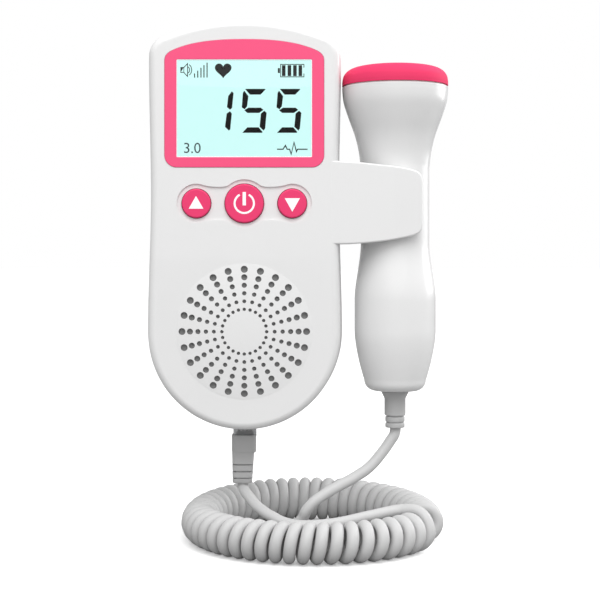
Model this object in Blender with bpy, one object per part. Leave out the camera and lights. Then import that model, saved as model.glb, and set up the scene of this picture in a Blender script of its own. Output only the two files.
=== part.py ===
"""Fetal doppler monitor with a corded probe held in its side clip.

The monitor stands upright with its screen facing -Y. Every place below is measured from the
middle of the monitor's height; one empty then carries the whole object, so that the world
origin lies on the flat pad of the rear shell where the monitor is fastened. Units are metres.
"""

import math

import bmesh
import bpy
from mathutils import Matrix, Vector

# Clearances and small helpers shared by all pieces
FIT = 0.0003
WELD = 0.000002
OVERRUN = 0.003
ROOT_DEPTH = 0.0005
HOLE_PHASE = 0.11

# Monitor case
MONITOR_HEIGHT = 0.134
MONITOR_DEPTH = 0.032
SEAM_DEPTH = 0.015
BASE_RADIUS = 0.03217
WAIST_HALF_WIDTH = 0.03118
WAIST_Z = 0.010
SHOULDER_HALF_WIDTH = 0.03184
SHOULDER_RADIUS = 0.008
TOP_ARCH_RADIUS = 0.070
CASE_WALL = 0.002
FRONT_EDGE_RADIUS = 0.0022
FRONT_DRAFT = 0.0015
BACK_EDGE_RADIUS = 0.004
FRONT_BREAK_Z = -0.0108
FRONT_FALL = 0.0009
MOUNT_PAD_RISE = 0.038

FRONT_Y = -MONITOR_DEPTH
SEAM_Y = -SEAM_DEPTH
INNER_FRONT_Y = FRONT_Y + CASE_WALL
INNER_BACK_Y = -CASE_WALL
TOP_Z = MONITOR_HEIGHT / 2
BASE_Z = -MONITOR_HEIGHT / 2
BASE_CENTRE_Z = BASE_Z + BASE_RADIUS

# Side clip
CLIP_GAP = 0.0236
CLIP_THICKNESS = 0.0026
CLIP_ROOT_LOW_Z = -0.0062
CLIP_ROOT_HIGH_Z = 0.0205
CLIP_TIP_LOW_Z = -0.0028
CLIP_TIP_HIGH_Z = 0.0166
CLIP_TIP_REACH = 0.0070
CLIP_TIP_RADIUS = 0.0022
CLIP_ROOT_DEPTH = 0.0038
CLIP_EDGE_RADIUS = 0.0007

# Screen
BEZEL_WIDTH = 0.0511
BEZEL_LOW_Z = 0.0184
BEZEL_TOP_MARGIN = 0.0117
BEZEL_SIDE_HIGH_Z = TOP_Z - BEZEL_TOP_MARGIN
BEZEL_ARCH_RISE = 0.0044
BEZEL_CORNER_RADIUS = 0.0032
BEZEL_TOP_CORNER_RADIUS = 0.0052
BEZEL_THICKNESS = 0.0011
BEZEL_STAND = 0.0002
BEZEL_SIDE_WIDTH = 0.00395
BEZEL_SILL = 0.00325
BEZEL_HEAD = 0.0025
WINDOW_WIDTH = BEZEL_WIDTH - 2 * BEZEL_SIDE_WIDTH
WINDOW_LOW_Z = BEZEL_LOW_Z + BEZEL_SILL
WINDOW_HIGH_Z = BEZEL_SIDE_HIGH_Z - BEZEL_HEAD
WINDOW_RADIUS = 0.0010
LENS_LEDGE = 0.0007
LENS_THICKNESS = 0.0009
LCD_MARGIN = 0.0013
LCD_THICKNESS = 0.0022
LCD_FRAME_THICKNESS = 0.0030
LCD_FRAME_WALL = 0.0005

# Buttons
BUTTON_ROW_Z = 0.0069
SIDE_BUTTON_X = 0.0153
SIDE_BUTTON_RADIUS = 0.00462
POWER_BUTTON_RADIUS = 0.00618
BUTTON_STAND = 0.0003
BUTTON_EDGE_RADIUS = 0.0004
BUTTON_FLANGE = 0.0008
BUTTON_STEM_SHARE = 0.45
BUTTON_STEM_DEPTH = 0.0006
SIDE_RECESS_RADIUS = 0.00628
POWER_RECESS_RADIUS = 0.00768
RECESS_BRIDGE_HALF = 0.00526
RECESS_DEPTH = 0.0004
KEYPAD_THICKNESS = 0.0009
KEYPAD_MARGIN = 0.0012
SWITCH_SIDE = 0.0060
SWITCH_HEIGHT = 0.0035
SWITCH_BODY_SHARE = 0.75
SWITCH_PLUNGER_ROOT = 0.0011
SWITCH_PLUNGER_RADIUS = 0.00175

# Speaker and its grille
GRILLE_Z = -0.0340
GRILLE_SPOKES = 24
GRILLE_FIRST_RADIUS = 0.00714
GRILLE_RING_STEP = 0.00255
GRILLE_HOLE_DIAMETERS = (0.00099, 0.00112, 0.00124, 0.00147, 0.00175, 0.00204)
SPEAKER_RADIUS = 0.0200
SPEAKER_RIM_WIDTH = 0.0025
SPEAKER_RIM_THICKNESS = 0.0010
SPEAKER_BASKET_RADIUS = 0.0105
SPEAKER_BASKET_DEPTH = 0.0046
SPEAKER_BASKET_WALL = 0.0008
CONE_WALL = 0.0004
CONE_NECK_RADIUS = 0.0050
MAGNET_RADIUS = 0.0085
MAGNET_THICKNESS = 0.0020

# Main circuit board
BOARD_THICKNESS = 0.0016
BOARD_FRONT_Y = -0.0216
BOARD_HALF_WIDTH = 0.0228
BOARD_TOP_MARGIN = 0.0135
BOARD_BASE_MARGIN = 0.0175
BOARD_TONGUE_MARGIN = 0.0045
BOARD_TONGUE_HALF_WIDTH = 0.0080
BOARD_HIGH_Z = TOP_Z - BOARD_TOP_MARGIN
BOARD_LOW_Z = BASE_Z + BOARD_BASE_MARGIN
BOARD_TONGUE_LOW_Z = BASE_Z + BOARD_TONGUE_MARGIN
BOARD_SCREW_X = 0.0203
BOARD_SCREW_Z = -0.0060
BOARD_POST_RADIUS = 0.0023
BOARD_BACK_Y = BOARD_FRONT_Y + BOARD_THICKNESS

# Case and board screws
SCREW_SHANK_RADIUS = 0.0010
SCREW_HEAD_RADIUS = 0.0020
SCREW_HEAD_THICKNESS = 0.0014
SCREW_CROSS_WIDTH = 0.0006
SCREW_CROSS_DEPTH = 0.0007
SCREW_CROSS_REACH_SHARE = 0.6
SCREW_BITE = 0.0080
HIGH_SCREW_INSET = 0.00984
HIGH_SCREW_MARGIN = 0.0095
LOW_SCREW_INSET = 0.00517
LOW_SCREW_RISE = 0.00683
CASE_SCREW_SEAT_DEPTH = 0.0080
FRONT_BOSS_RADIUS = 0.0024
REAR_BOSS_RADIUS = 0.0034
BOARD_SCREW_HEAD_THICKNESS = 0.0008
BOARD_SCREW_BITE = 0.0050

# Sockets
CORD_AXIS_Y = SEAM_Y
SOCKET_HALF_WIDTH = 0.0056
SOCKET_WALL = 0.0015
SOCKET_RISE = 0.0034
SOCKET_HEIGHT = 0.0114
SOCKET_LOW_Z = BASE_Z + SOCKET_RISE
SOCKET_HIGH_Z = SOCKET_LOW_Z + SOCKET_HEIGHT
EARPHONE_Z = 0.0125
EARPHONE_LENGTH = 0.0110
EARPHONE_SIDE = 0.0060
EARPHONE_NOSE_RADIUS = 0.0025
EARPHONE_BORE_RADIUS = 0.0018

# Battery bay, cells and cover
CELL_RADIUS = 0.00725
CELL_LENGTH = 0.0500
CELL_PIP_RADIUS = 0.00275
CELL_PIP_LENGTH = 0.0010
CELL_PITCH = 0.0150
CELL_RIM_SHARE = 0.93
BAY_WALL = 0.0013
BAY_SOCKET_GAP = 0.0016
CONTACT_PLATE_THICKNESS = 0.0005
CONTACT_PLATE_HALF_WIDTH = 0.0045
CONTACT_SPRING_RADIUS = 0.0032
CONTACT_SPRING_LENGTH = 0.0024
CONTACT_SPRING_WIRE = 0.0006
CONTACT_SPRING_TURNS = 2
COVER_THICKNESS = 0.0016
COVER_HALF_WIDTH = 0.0190
COVER_LAP = 0.0030
COVER_GRIP_RIBS = 3
COVER_GRIP_HALF_WIDTH = 0.0060
COVER_GRIP_PITCH = 0.0024
COVER_GRIP_DEPTH = 0.0006
COVER_GRIP_DROP = 0.0070
BAY_ENDS = 2 * (CONTACT_PLATE_THICKNESS + FIT) + CONTACT_SPRING_LENGTH + 2 * FIT
BAY_LOW_Z = SOCKET_HIGH_Z + BAY_SOCKET_GAP
BAY_HIGH_Z = BAY_LOW_Z + CELL_LENGTH + CELL_PIP_LENGTH + BAY_ENDS
COVER_HIGH_Z = BAY_HIGH_Z + COVER_LAP
COVER_GRIP_Z = COVER_HIGH_Z - COVER_GRIP_DROP

# Plug, boot and cord
PLUG_WIDTH = 0.00765
PLUG_DEPTH = 0.0048
PLUG_REACH = 0.0110
PLUG_LENGTH = 0.0135
PLUG_TIP_Z = BASE_Z + PLUG_REACH
PLUG_TAIL_Z = PLUG_TIP_Z - PLUG_LENGTH
PLUG_LATCH_HALF_WIDTH = 0.0016
PLUG_LATCH_THICKNESS = 0.0005
BOOT_WIDTH = 0.00776
BOOT_DEPTH = 0.0068
BOOT_HEAD_LENGTH = 0.0055
BOOT_TAPER_LENGTH = 0.0101
BOOT_STEP_Z = PLUG_TAIL_Z - BOOT_HEAD_LENGTH
BOOT_LOW_Z = BOOT_STEP_Z - BOOT_TAPER_LENGTH
BOOT_NECK_WIDTH = 0.0071
BOOT_TAIL_WIDTH = 0.0062
BOOT_GROOVE_DEPTH = 0.0005
BOOT_GROOVE_HALF_HEIGHT = 0.00035
BOOT_GROOVE_DROPS = (0.0041, 0.0063, 0.0085)
BOOT_EDGE_DROP = 0.00003
CORD_DIAMETER = 0.0035
CURL_DIAMETER = 0.0130
CURL_RING_RADIUS = 0.0372
CURL_RING_X = 0.0223
CURL_RING_Y = -0.0150
CURL_RING_Z = -0.0977
CURL_START_DEGREES = -20.0
CURL_SWEEP_DEGREES = -345.0
CURL_TURNS = 48.5
CURL_POINTS_PER_TURN = 8
CURL_GAP_SAMPLES = 36
LEAST_CURL_GAP = 0.0004

# Probe
PROBE_Y = -0.0174
PROBE_WALL = 0.0018
PROBE_HEAD_RADIUS = 0.0174
PROBE_HEAD_GAP = 0.00036
PROBE_X = SHOULDER_HALF_WIDTH + PROBE_HEAD_GAP + PROBE_HEAD_RADIUS
PROBE_CAP_TOP_Z = 0.05395
PROBE_CAP_SEAM_Z = 0.0460
PROBE_CAP_WALL = 0.0016
PROBE_SPIGOT_DEPTH = 0.0022
PROBE_SPIGOT_WALL = 0.0012
PROBE_NECK_RADIUS = 0.01145
PROBE_NECK_HIGH_Z = 0.0190
PROBE_NECK_LOW_Z = -0.0056
PROBE_GRIP_RADIUS = 0.0133
PROBE_GRIP_HIGH_Z = -0.0245
PROBE_GRIP_LOW_Z = -0.0344
PROBE_TAIL_RADIUS = 0.0099
PROBE_TAIL_Z = -0.0527
PROBE_END_Z = -0.0542
PROBE_TAPER_POWER = 1.6
CRYSTAL_INSET = 0.0079
CRYSTAL_RADIUS = PROBE_HEAD_RADIUS - CRYSTAL_INSET
CRYSTAL_DROP_SHARE = 0.14
CRYSTAL_THICKNESS = 0.0010
CRYSTAL_SPLIT = 0.0012
HOLDER_THICKNESS = 0.0030
PROBE_BOARD_THICKNESS = 0.0012
PROBE_BOARD_LOW_Z = -0.0200
PROBE_BOARD_HIGH_Z = 0.0340
RELIEF_FLARE_RADIUS = 0.0045
RELIEF_RADIUS = 0.00346
RELIEF_RING_RADIUS = 0.0032
RELIEF_NECK_RADIUS = 0.0028
RELIEF_COLLAR_RADIUS = 0.0030
RELIEF_FLANGE_THICKNESS = 0.0010
RELIEF_FLARE_LENGTH = 0.0024
RELIEF_BODY_LENGTH = 0.0054
RELIEF_RING_LENGTH = 0.0018
RELIEF_NECK_LENGTH = 0.0006
RELIEF_LOW_Z = -0.0666

# Shares of the probe's flare and dome: height share first, then radius share
HEAD_FLARE_SHARES = (
    (0.0, 0.0),
    (0.2, 0.11),
    (0.4, 0.32),
    (0.6, 0.64),
    (0.78, 0.9),
    (0.9, 0.98),
    (1.0, 1.0),
)
CAP_DOME_SHARES = (
    (0.0, 1.0),
    (0.2, 1.0),
    (0.36, 0.97),
    (0.54, 0.91),
    (0.72, 0.81),
    (0.88, 0.62),
    (0.965, 0.35),
)

# Steps that set how fine the round shapes are
BASE_STEPS = 12
SIDE_STEPS = 3
SHOULDER_STEPS = 4
ARCH_STEPS = 3
EDGE_STEPS = 3
CORNER_STEPS = 3
ROUND_STEPS = 20
SMALL_ROUND_STEPS = 10
RELIEF_STEPS = 12
HOLE_SIDES = 5
GRIP_STEPS = 5

# Routes of the two straight leads, chosen by hand along the photographed cord
MONITOR_LEAD_ROUTE = (
    (0.0000, -0.0150, -0.0854),
    (0.0000, -0.0150, -0.0889),
    (0.0028, -0.0174, -0.0917),
    (0.0068, -0.0222, -0.0932),
    (0.0116, -0.0290, -0.0941),
    (0.0164, -0.0348, -0.0941),
    (0.0240, -0.0388, -0.0933),
    (0.0302, -0.0378, -0.0924),
    (0.0360, -0.0332, -0.0917),
    (0.0415, -0.0278, -0.0915),
    (0.0468, -0.0250, -0.0921),
)
PROBE_LEAD_ROUTE = (
    (0.0496, -0.0174, -0.0669),
    (0.0496, -0.0174, -0.0704),
    (0.0482, -0.0177, -0.0730),
    (0.0454, -0.0184, -0.0757),
    (0.0411, -0.0197, -0.0798),
    (0.0362, -0.0211, -0.0823),
    (0.0301, -0.0231, -0.0847),
    (0.0240, -0.0255, -0.0884),
    (0.0202, -0.0270, -0.0918),
    (0.0166, -0.0274, -0.0953),
    (0.0124, -0.0260, -0.0993),
    (0.0087, -0.0215, -0.1018),
    (0.0078, -0.0150, -0.1024),
    (0.0112, -0.0085, -0.1024),
    (0.0185, -0.0053, -0.1024),
    (0.0280, -0.0062, -0.1024),
    (0.0380, -0.0105, -0.1024),
    (0.0460, -0.0148, -0.1024),
)
LEAD_STEP_DIAMETERS = 2.0
ROUTE_SAMPLES = 20


def clear_scene():
    for old in list(bpy.data.objects):
        bpy.data.objects.remove(old, do_unlink=True)


def make_material(name, colour, roughness, metallic=0.0, alpha=1.0):
    material = bpy.data.materials.new(name)
    material.use_nodes = True
    shader = material.node_tree.nodes["Principled BSDF"]
    shader.inputs["Base Color"].default_value = (*colour, 1.0)
    shader.inputs["Roughness"].default_value = roughness
    shader.inputs["Metallic"].default_value = metallic
    shader.inputs["Alpha"].default_value = alpha
    material.diffuse_color = (*colour, alpha)
    return material


def make_empty(name, place, parent=None):
    empty = bpy.data.objects.new(name, None)
    empty.location = place
    empty.parent = parent
    bpy.context.collection.objects.link(empty)
    return empty


def add_object(name, bm, material=None, parent=None, place=(0.0, 0.0, 0.0), smooth_degrees=35.0):
    """Turns a bmesh into a named object; one without a material is a cutter."""
    bmesh.ops.recalc_face_normals(bm, faces=bm.faces)
    mesh = bpy.data.meshes.new(name)
    bm.to_mesh(mesh)
    bm.free()
    mesh.shade_smooth()
    mesh.set_sharp_from_angle(angle=math.radians(smooth_degrees))
    piece = bpy.data.objects.new(name, mesh)
    piece.location = place
    piece.parent = parent
    if material is None:
        piece.hide_render = True
        piece.display_type = "WIRE"
    else:
        mesh.materials.append(material)
    bpy.context.collection.objects.link(piece)
    return piece


def combine(target, tool, operation="DIFFERENCE"):
    modifier = target.modifiers.new(tool.name, "BOOLEAN")
    modifier.operation = operation
    modifier.solver = "EXACT"
    modifier.object = tool
    return target


def loft(rings, closed_ends=True):
    """Joins equal rings of points with quads and closes the first and last ring."""
    bm = bmesh.new()
    rows = [[bm.verts.new(point) for point in ring] for ring in rings]
    for row, following in zip(rows, rows[1:]):
        for i in range(len(row)):
            j = (i + 1) % len(row)
            bm.faces.new((row[i], row[j], following[j], following[i]))
    if closed_ends:
        bm.faces.new(rows[0])
        bm.faces.new(rows[-1])
    return bm


def prism(outline, near_y, far_y):
    """A plate: an outline of (x, z) points between two depths."""
    return loft([[(x, y, z) for x, z in outline] for y in (near_y, far_y)])


def box(low, high):
    (x0, y0, z0), (x1, y1, z1) = low, high
    return prism(((x0, z0), (x1, z0), (x1, z1), (x0, z1)), y0, y1)


def turned(profile, steps, closed=True):
    """Spins (radius, height) points about +Z; edges that lie on the axis are left out."""
    bm = bmesh.new()
    verts = [bm.verts.new((radius, 0.0, height)) for radius, height in profile]
    pairs = list(zip(verts, verts[1:] + verts[:1])) if closed else list(zip(verts, verts[1:]))
    edges = [bm.edges.new(pair) for pair in pairs if pair[0].co.x > 0 or pair[1].co.x > 0]
    bmesh.ops.spin(
        bm,
        geom=verts + edges,
        cent=(0.0, 0.0, 0.0),
        axis=(0.0, 0.0, 1.0),
        dvec=(0.0, 0.0, 0.0),
        angle=math.tau,
        steps=steps,
    )
    bmesh.ops.remove_doubles(bm, verts=bm.verts, dist=WELD)
    return bm


def disc(radius, low, high, steps=ROUND_STEPS, phase=0.0):
    angles = [phase + math.tau * i / steps for i in range(steps)]
    return loft([[(radius * math.cos(a), radius * math.sin(a), z) for a in angles] for z in (low, high)])


def facing_front(bm, x, z):
    """Turns a shape made about +Z so that its axis runs along +Y through (x, z)."""
    turn = Matrix.Rotation(math.radians(-90.0), 4, "X")
    bmesh.ops.transform(bm, matrix=Matrix.Translation((x, 0.0, z)) @ turn, verts=bm.verts)
    return bm


def moved(bm, offset):
    bmesh.ops.translate(bm, vec=Vector(offset), verts=bm.verts)
    return bm


def front_disc(radius, near_y, far_y, x, z, steps=ROUND_STEPS, phase=0.0):
    return facing_front(disc(radius, near_y, far_y, steps, phase), x, z)


def arc(centre, radius, start, end, steps):
    """Points of a circle's arc, both ends included; angles in radians."""
    angles = [start + (end - start) * i / steps for i in range(steps + 1)]
    return [(centre[0] + radius * math.cos(a), centre[1] + radius * math.sin(a)) for a in angles]


def round_rectangle(x0, x1, z0, z1, low_radius, high_radius=None):
    high_radius = low_radius if high_radius is None else high_radius
    quarter = math.pi / 2
    corners = (
        (x1 - low_radius, z0 + low_radius, low_radius, -quarter),
        (x1 - high_radius, z1 - high_radius, high_radius, 0.0),
        (x0 + high_radius, z1 - high_radius, high_radius, quarter),
        (x0 + low_radius, z0 + low_radius, low_radius, 2 * quarter),
    )
    points = []
    for x, z, radius, start in corners:
        points += arc((x, z), radius, start, start + quarter, CORNER_STEPS)
    return points


def ease(share):
    return share * share * (3 - 2 * share)


def blend_values(start, end, share):
    return start + (end - start) * share


def shoulder_centre():
    x = SHOULDER_HALF_WIDTH - SHOULDER_RADIUS
    reach = TOP_ARCH_RADIUS - SHOULDER_RADIUS
    return x, TOP_Z - TOP_ARCH_RADIUS + math.sqrt(reach**2 - x**2)


def side_half_width(z):
    """Half width of the case between its round base and its shoulder, drawn in at the waist."""
    if z < WAIST_Z:
        share = (WAIST_Z - z) / (WAIST_Z - BASE_CENTRE_Z)
        return blend_values(WAIST_HALF_WIDTH, BASE_RADIUS, ease(share))
    share = (z - WAIST_Z) / (shoulder_centre()[1] - WAIST_Z)
    return blend_values(WAIST_HALF_WIDTH, SHOULDER_HALF_WIDTH, ease(share))


def case_outline(inset):
    """The outline of the case, drawn in by inset: base round, sides, shoulders and arched top."""
    centre = shoulder_centre()
    arch_centre_z = TOP_Z - TOP_ARCH_RADIUS
    joint = math.atan2(centre[1] - arch_centre_z, centre[0])
    right = arc((0.0, BASE_CENTRE_Z), BASE_RADIUS - inset, -math.pi / 2, 0.0, BASE_STEPS)
    for low, high in ((BASE_CENTRE_Z, FRONT_BREAK_Z), (FRONT_BREAK_Z, WAIST_Z), (WAIST_Z, centre[1])):
        for i in range(1, SIDE_STEPS + 1):
            z = blend_values(low, high, i / SIDE_STEPS)
            right.append((side_half_width(z) - inset, z))
    right += arc(centre, SHOULDER_RADIUS - inset, 0.0, joint, SHOULDER_STEPS)[1:]
    right += arc((0.0, arch_centre_z), TOP_ARCH_RADIUS - inset, joint, math.pi / 2, ARCH_STEPS)[1:]
    left = [(-x, z) for x, z in reversed(right[1:-1])]
    return right + left


def front_fall(z):
    """How far the lower front face lies back at a height."""
    return FRONT_FALL * max(0.0, (FRONT_BREAK_Z - z) / (FRONT_BREAK_Z - BASE_Z))


def draft(y):
    """How far the wall of the front half leans in at a depth."""
    return FRONT_DRAFT * max(0.0, (SEAM_Y - y) / (SEAM_Y - FRONT_Y))


def case_half(face_y, edge_radius, fall):
    """The outer solid of one shell, from just short of the seam to its face, with a round edge."""
    direction = 1.0 if face_y > SEAM_Y else -1.0
    seam_y = SEAM_Y + direction * FIT / 2
    rings = [[(x, seam_y, z) for x, z in case_outline(draft(seam_y))]]
    for i in range(EDGE_STEPS + 1):
        angle = math.pi / 2 * i / EDGE_STEPS
        y = face_y - direction * edge_radius * (1 - math.sin(angle))
        inset = edge_radius * (1 - math.cos(angle)) + draft(y)
        outline = zip(case_outline(inset), case_outline(0.0))
        rings.append([(x, y + (front_fall(full_z) if fall else 0.0), z) for (x, z), (_, full_z) in outline])
    bm = loft(rings)
    if fall:
        bm.verts.ensure_lookup_table()
        face_verts = bm.verts[-len(rings[-1]) :]
        ends = sorted(face_verts, key=lambda vert: abs(vert.co.z - FRONT_BREAK_Z))[:2]
        bmesh.ops.connect_verts(bm, verts=ends)
    return bm


def clip_finger(outer_y, inner_y):
    """One arm of the side clip, tapering from its root in the case wall to its rounded tip."""
    root_x = side_half_width(WAIST_Z) - CLIP_ROOT_DEPTH
    tip_x = PROBE_X + CLIP_TIP_REACH - CLIP_TIP_RADIUS
    low_tip = (tip_x, CLIP_TIP_LOW_Z + CLIP_TIP_RADIUS)
    high_tip = (tip_x, CLIP_TIP_HIGH_Z - CLIP_TIP_RADIUS)
    outline = [(root_x, CLIP_ROOT_LOW_Z)]
    outline += arc(low_tip, CLIP_TIP_RADIUS, -math.pi / 2, 0.0, CORNER_STEPS)
    outline += arc(high_tip, CLIP_TIP_RADIUS, 0.0, math.pi / 2, CORNER_STEPS)
    outline += [(root_x, CLIP_ROOT_HIGH_Z)]
    bm = prism(outline, outer_y, inner_y)
    edges = [edge for edge in bm.edges if all(abs(vert.co.y - outer_y) < WELD for vert in edge.verts)]
    bmesh.ops.bevel(bm, geom=edges, offset=CLIP_EDGE_RADIUS, segments=1, affect="EDGES")
    return bm


def cavity(near_y, far_y):
    """The space inside one half; in the front half it leans in with the wall."""
    depths = (near_y, SEAM_Y, far_y)
    return loft([[(x, y, z) for x, z in case_outline(CASE_WALL + draft(y))] for y in depths])


def boss(place, radius, near_y, far_y):
    return front_disc(radius, near_y, far_y, *place, SMALL_ROUND_STEPS)


def drill(place, radius, near_y, far_y):
    """A round hole's cutter, turned a little so that its corners miss those of the boss round it."""
    return front_disc(radius, near_y, far_y, *place, SMALL_ROUND_STEPS, HOLE_PHASE)


def cut_with(target, name, bm, parent, operation="DIFFERENCE"):
    return combine(target, add_object(name, bm, None, parent), operation)


def close_seams(piece):
    """Merges the corners that cuts leave on top of each other."""
    weld = piece.modifiers.new("close_seams", "WELD")
    weld.merge_threshold = WELD
    return piece


def bezel_outline(inset):
    """Straight sides and base, rounded corners and an arched top, drawn in by inset."""
    half = BEZEL_WIDTH / 2 - inset
    low, high = BEZEL_LOW_Z + inset, BEZEL_SIDE_HIGH_Z
    base_radius = BEZEL_CORNER_RADIUS - inset
    top_radius = BEZEL_TOP_CORNER_RADIUS - inset
    centre_x = BEZEL_WIDTH / 2 - BEZEL_TOP_CORNER_RADIUS
    arch_radius = (centre_x**2 + BEZEL_ARCH_RISE**2) / (2 * BEZEL_ARCH_RISE)
    joint = math.pi / 2 - math.asin(centre_x / arch_radius)
    quarter = math.pi / 2
    right = arc((half - base_radius, low + base_radius), base_radius, -quarter, 0.0, CORNER_STEPS)
    corner_z = high - BEZEL_TOP_CORNER_RADIUS
    right += arc((centre_x, corner_z), top_radius, 0.0, joint, CORNER_STEPS)
    top = corner_z + top_radius * math.sin(joint)
    edge_x = right[-1][0]
    for i in range(1, ARCH_STEPS + 1):
        share = i / ARCH_STEPS
        angle = joint + (quarter - joint) * share
        x = edge_x * math.cos(angle) / math.cos(joint)
        rise = arch_radius * (math.sin(angle) - math.sin(joint))
        right.append((x, top + rise))
    left = [(-x, z) for x, z in reversed(right[:-1])]
    return right + left


def window_outline(inset):
    half = WINDOW_WIDTH / 2 - inset
    return round_rectangle(-half, half, WINDOW_LOW_Z + inset, WINDOW_HIGH_Z - inset, WINDOW_RADIUS)


def button_recess_outline():
    """One smooth outline round the three buttons: an arc at each, joined by shallow saddles."""
    half = []
    saddle_x = (SIDE_BUTTON_X - SIDE_RECESS_RADIUS + POWER_RECESS_RADIUS) / 2
    angle = math.asin(RECESS_BRIDGE_HALF / POWER_RECESS_RADIUS)
    upright = math.pi / 2
    lean = angle + (upright - angle) / 4
    half += arc((0.0, BUTTON_ROW_Z), POWER_RECESS_RADIUS, upright, lean, CORNER_STEPS)
    half.append((saddle_x, BUTTON_ROW_Z + RECESS_BRIDGE_HALF))
    start = math.pi - math.asin(RECESS_BRIDGE_HALF / SIDE_RECESS_RADIUS)
    half += arc((SIDE_BUTTON_X, BUTTON_ROW_Z), SIDE_RECESS_RADIUS, start, 0.0, SMALL_ROUND_STEPS // 2)
    below = [(x, 2 * BUTTON_ROW_Z - z) for x, z in reversed(half[:-1])]
    right = half + below
    left = [(-x, z) for x, z in reversed(right[1:-1])]
    return right + left


def grille_holes():
    """All the speaker holes as one cutter: rings of holes that grow towards the rim."""
    bm = bmesh.new()
    for ring, diameter in enumerate(GRILLE_HOLE_DIAMETERS):
        reach = GRILLE_FIRST_RADIUS + ring * GRILLE_RING_STEP
        for spoke in range(GRILLE_SPOKES):
            angle = math.tau * spoke / GRILLE_SPOKES
            x, z = reach * math.cos(angle), GRILLE_Z + reach * math.sin(angle)
            outline = [
                (x + diameter / 2 * math.cos(turn), z + diameter / 2 * math.sin(turn))
                for turn in (math.tau * i / HOLE_SIDES for i in range(HOLE_SIDES))
            ]
            front = [bm.verts.new((px, FRONT_Y - OVERRUN, pz)) for px, pz in outline]
            back = [bm.verts.new((px, INNER_FRONT_Y + OVERRUN, pz)) for px, pz in outline]
            bm.faces.new(front)
            bm.faces.new(back)
            for i in range(HOLE_SIDES):
                j = (i + 1) % HOLE_SIDES
                bm.faces.new((front[i], front[j], back[j], back[i]))
    return bm


def cord_opening():
    half_width = SOCKET_HALF_WIDTH - SOCKET_WALL
    half_depth = BOOT_DEPTH / 2 + FIT
    low = (-half_width, CORD_AXIS_Y - half_depth, BASE_Z - OVERRUN)
    return box(low, (half_width, CORD_AXIS_Y + half_depth, SOCKET_LOW_Z + FIT))


def earphone_centre_y():
    return BOARD_BACK_Y + FIT + EARPHONE_SIDE / 2


def earphone_opening():
    half_width = side_half_width(EARPHONE_Z)
    low, high = -half_width - OVERRUN, -half_width + CASE_WALL + OVERRUN
    bm = disc(EARPHONE_NOSE_RADIUS + FIT, low, high, SMALL_ROUND_STEPS)
    turn = Matrix.Rotation(math.radians(90.0), 4, "Y")
    bmesh.ops.transform(bm, matrix=turn, verts=bm.verts)
    return moved(bm, (0.0, earphone_centre_y(), EARPHONE_Z))


def button_sizes():
    return (
        ("button_up", -SIDE_BUTTON_X, SIDE_BUTTON_RADIUS),
        ("button_power", 0.0, POWER_BUTTON_RADIUS),
        ("button_down", SIDE_BUTTON_X, SIDE_BUTTON_RADIUS),
    )


def case_screw_places():
    high = (SHOULDER_HALF_WIDTH - HIGH_SCREW_INSET, TOP_Z - HIGH_SCREW_MARGIN)
    low = (BASE_RADIUS - LOW_SCREW_INSET, BASE_CENTRE_Z + LOW_SCREW_RISE)
    return tuple((side * x, z) for x, z in (high, low) for side in (-1, 1))


def board_screw_places():
    return ((-BOARD_SCREW_X, BOARD_SCREW_Z), (BOARD_SCREW_X, BOARD_SCREW_Z))


def build_front_shell(white, datum):
    shell = add_object("front_shell", case_half(FRONT_Y, FRONT_EDGE_RADIUS, True), white, datum)
    inner_y = PROBE_Y - CLIP_GAP / 2
    cut_with(shell, "front_finger", clip_finger(inner_y - CLIP_THICKNESS, inner_y), datum, "UNION")
    space = add_object("front_space", cavity(INNER_FRONT_Y, SEAM_Y + OVERRUN), None, datum)
    for i, place in enumerate(case_screw_places()):
        post = boss(place, FRONT_BOSS_RADIUS, INNER_FRONT_Y - ROOT_DEPTH, SEAM_Y - FIT)
        cut_with(space, f"front_boss_{i}", post, datum)
    for i, place in enumerate(board_screw_places()):
        post = boss(place, BOARD_POST_RADIUS, INNER_FRONT_Y - ROOT_DEPTH, BOARD_FRONT_Y - FIT)
        cut_with(space, f"board_post_{i}", post, datum)
    combine(shell, space)
    for i, place in enumerate(case_screw_places()):
        hole = drill(place, SCREW_SHANK_RADIUS + FIT, SEAM_Y - SCREW_BITE - FIT, SEAM_Y + OVERRUN)
        cut_with(shell, f"front_pilot_{i}", hole, datum)
    for i, place in enumerate(board_screw_places()):
        depth = BOARD_FRONT_Y - BOARD_SCREW_BITE - FIT
        hole = drill(place, SCREW_SHANK_RADIUS + FIT, depth, BOARD_FRONT_Y + OVERRUN)
        cut_with(shell, f"board_pilot_{i}", hole, datum)
    recess_floor = FRONT_Y - BEZEL_STAND + BEZEL_THICKNESS + FIT
    cut_with(shell, "bezel_recess", prism(bezel_outline(-FIT), FRONT_Y - OVERRUN, recess_floor), datum)
    window = prism(window_outline(LENS_LEDGE), FRONT_Y - OVERRUN, INNER_FRONT_Y + OVERRUN)
    cut_with(shell, "window_cut", window, datum)
    recess = prism(button_recess_outline(), FRONT_Y - OVERRUN, FRONT_Y + RECESS_DEPTH)
    cut_with(shell, "button_recess", recess, datum)
    for name, x, radius in button_sizes():
        near, far = FRONT_Y - OVERRUN, INNER_FRONT_Y + OVERRUN
        hole = front_disc(radius + FIT, near, far, x, BUTTON_ROW_Z, ROUND_STEPS, HOLE_PHASE)
        cut_with(shell, f"{name}_hole", hole, datum)
    cut_with(shell, "grille_holes", grille_holes(), datum)
    cut_with(shell, "front_cord_opening", cord_opening(), datum)
    cut_with(shell, "front_earphone_opening", earphone_opening(), datum)
    return close_seams(shell)


def bay_half_width():
    return CELL_PITCH / 2 + CELL_RADIUS + FIT


def bay_floor_y():
    """The inner face of the bay's floor, behind which the cells lie."""
    return -COVER_THICKNESS - 2 * FIT - 2 * CELL_RADIUS - FIT


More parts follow.
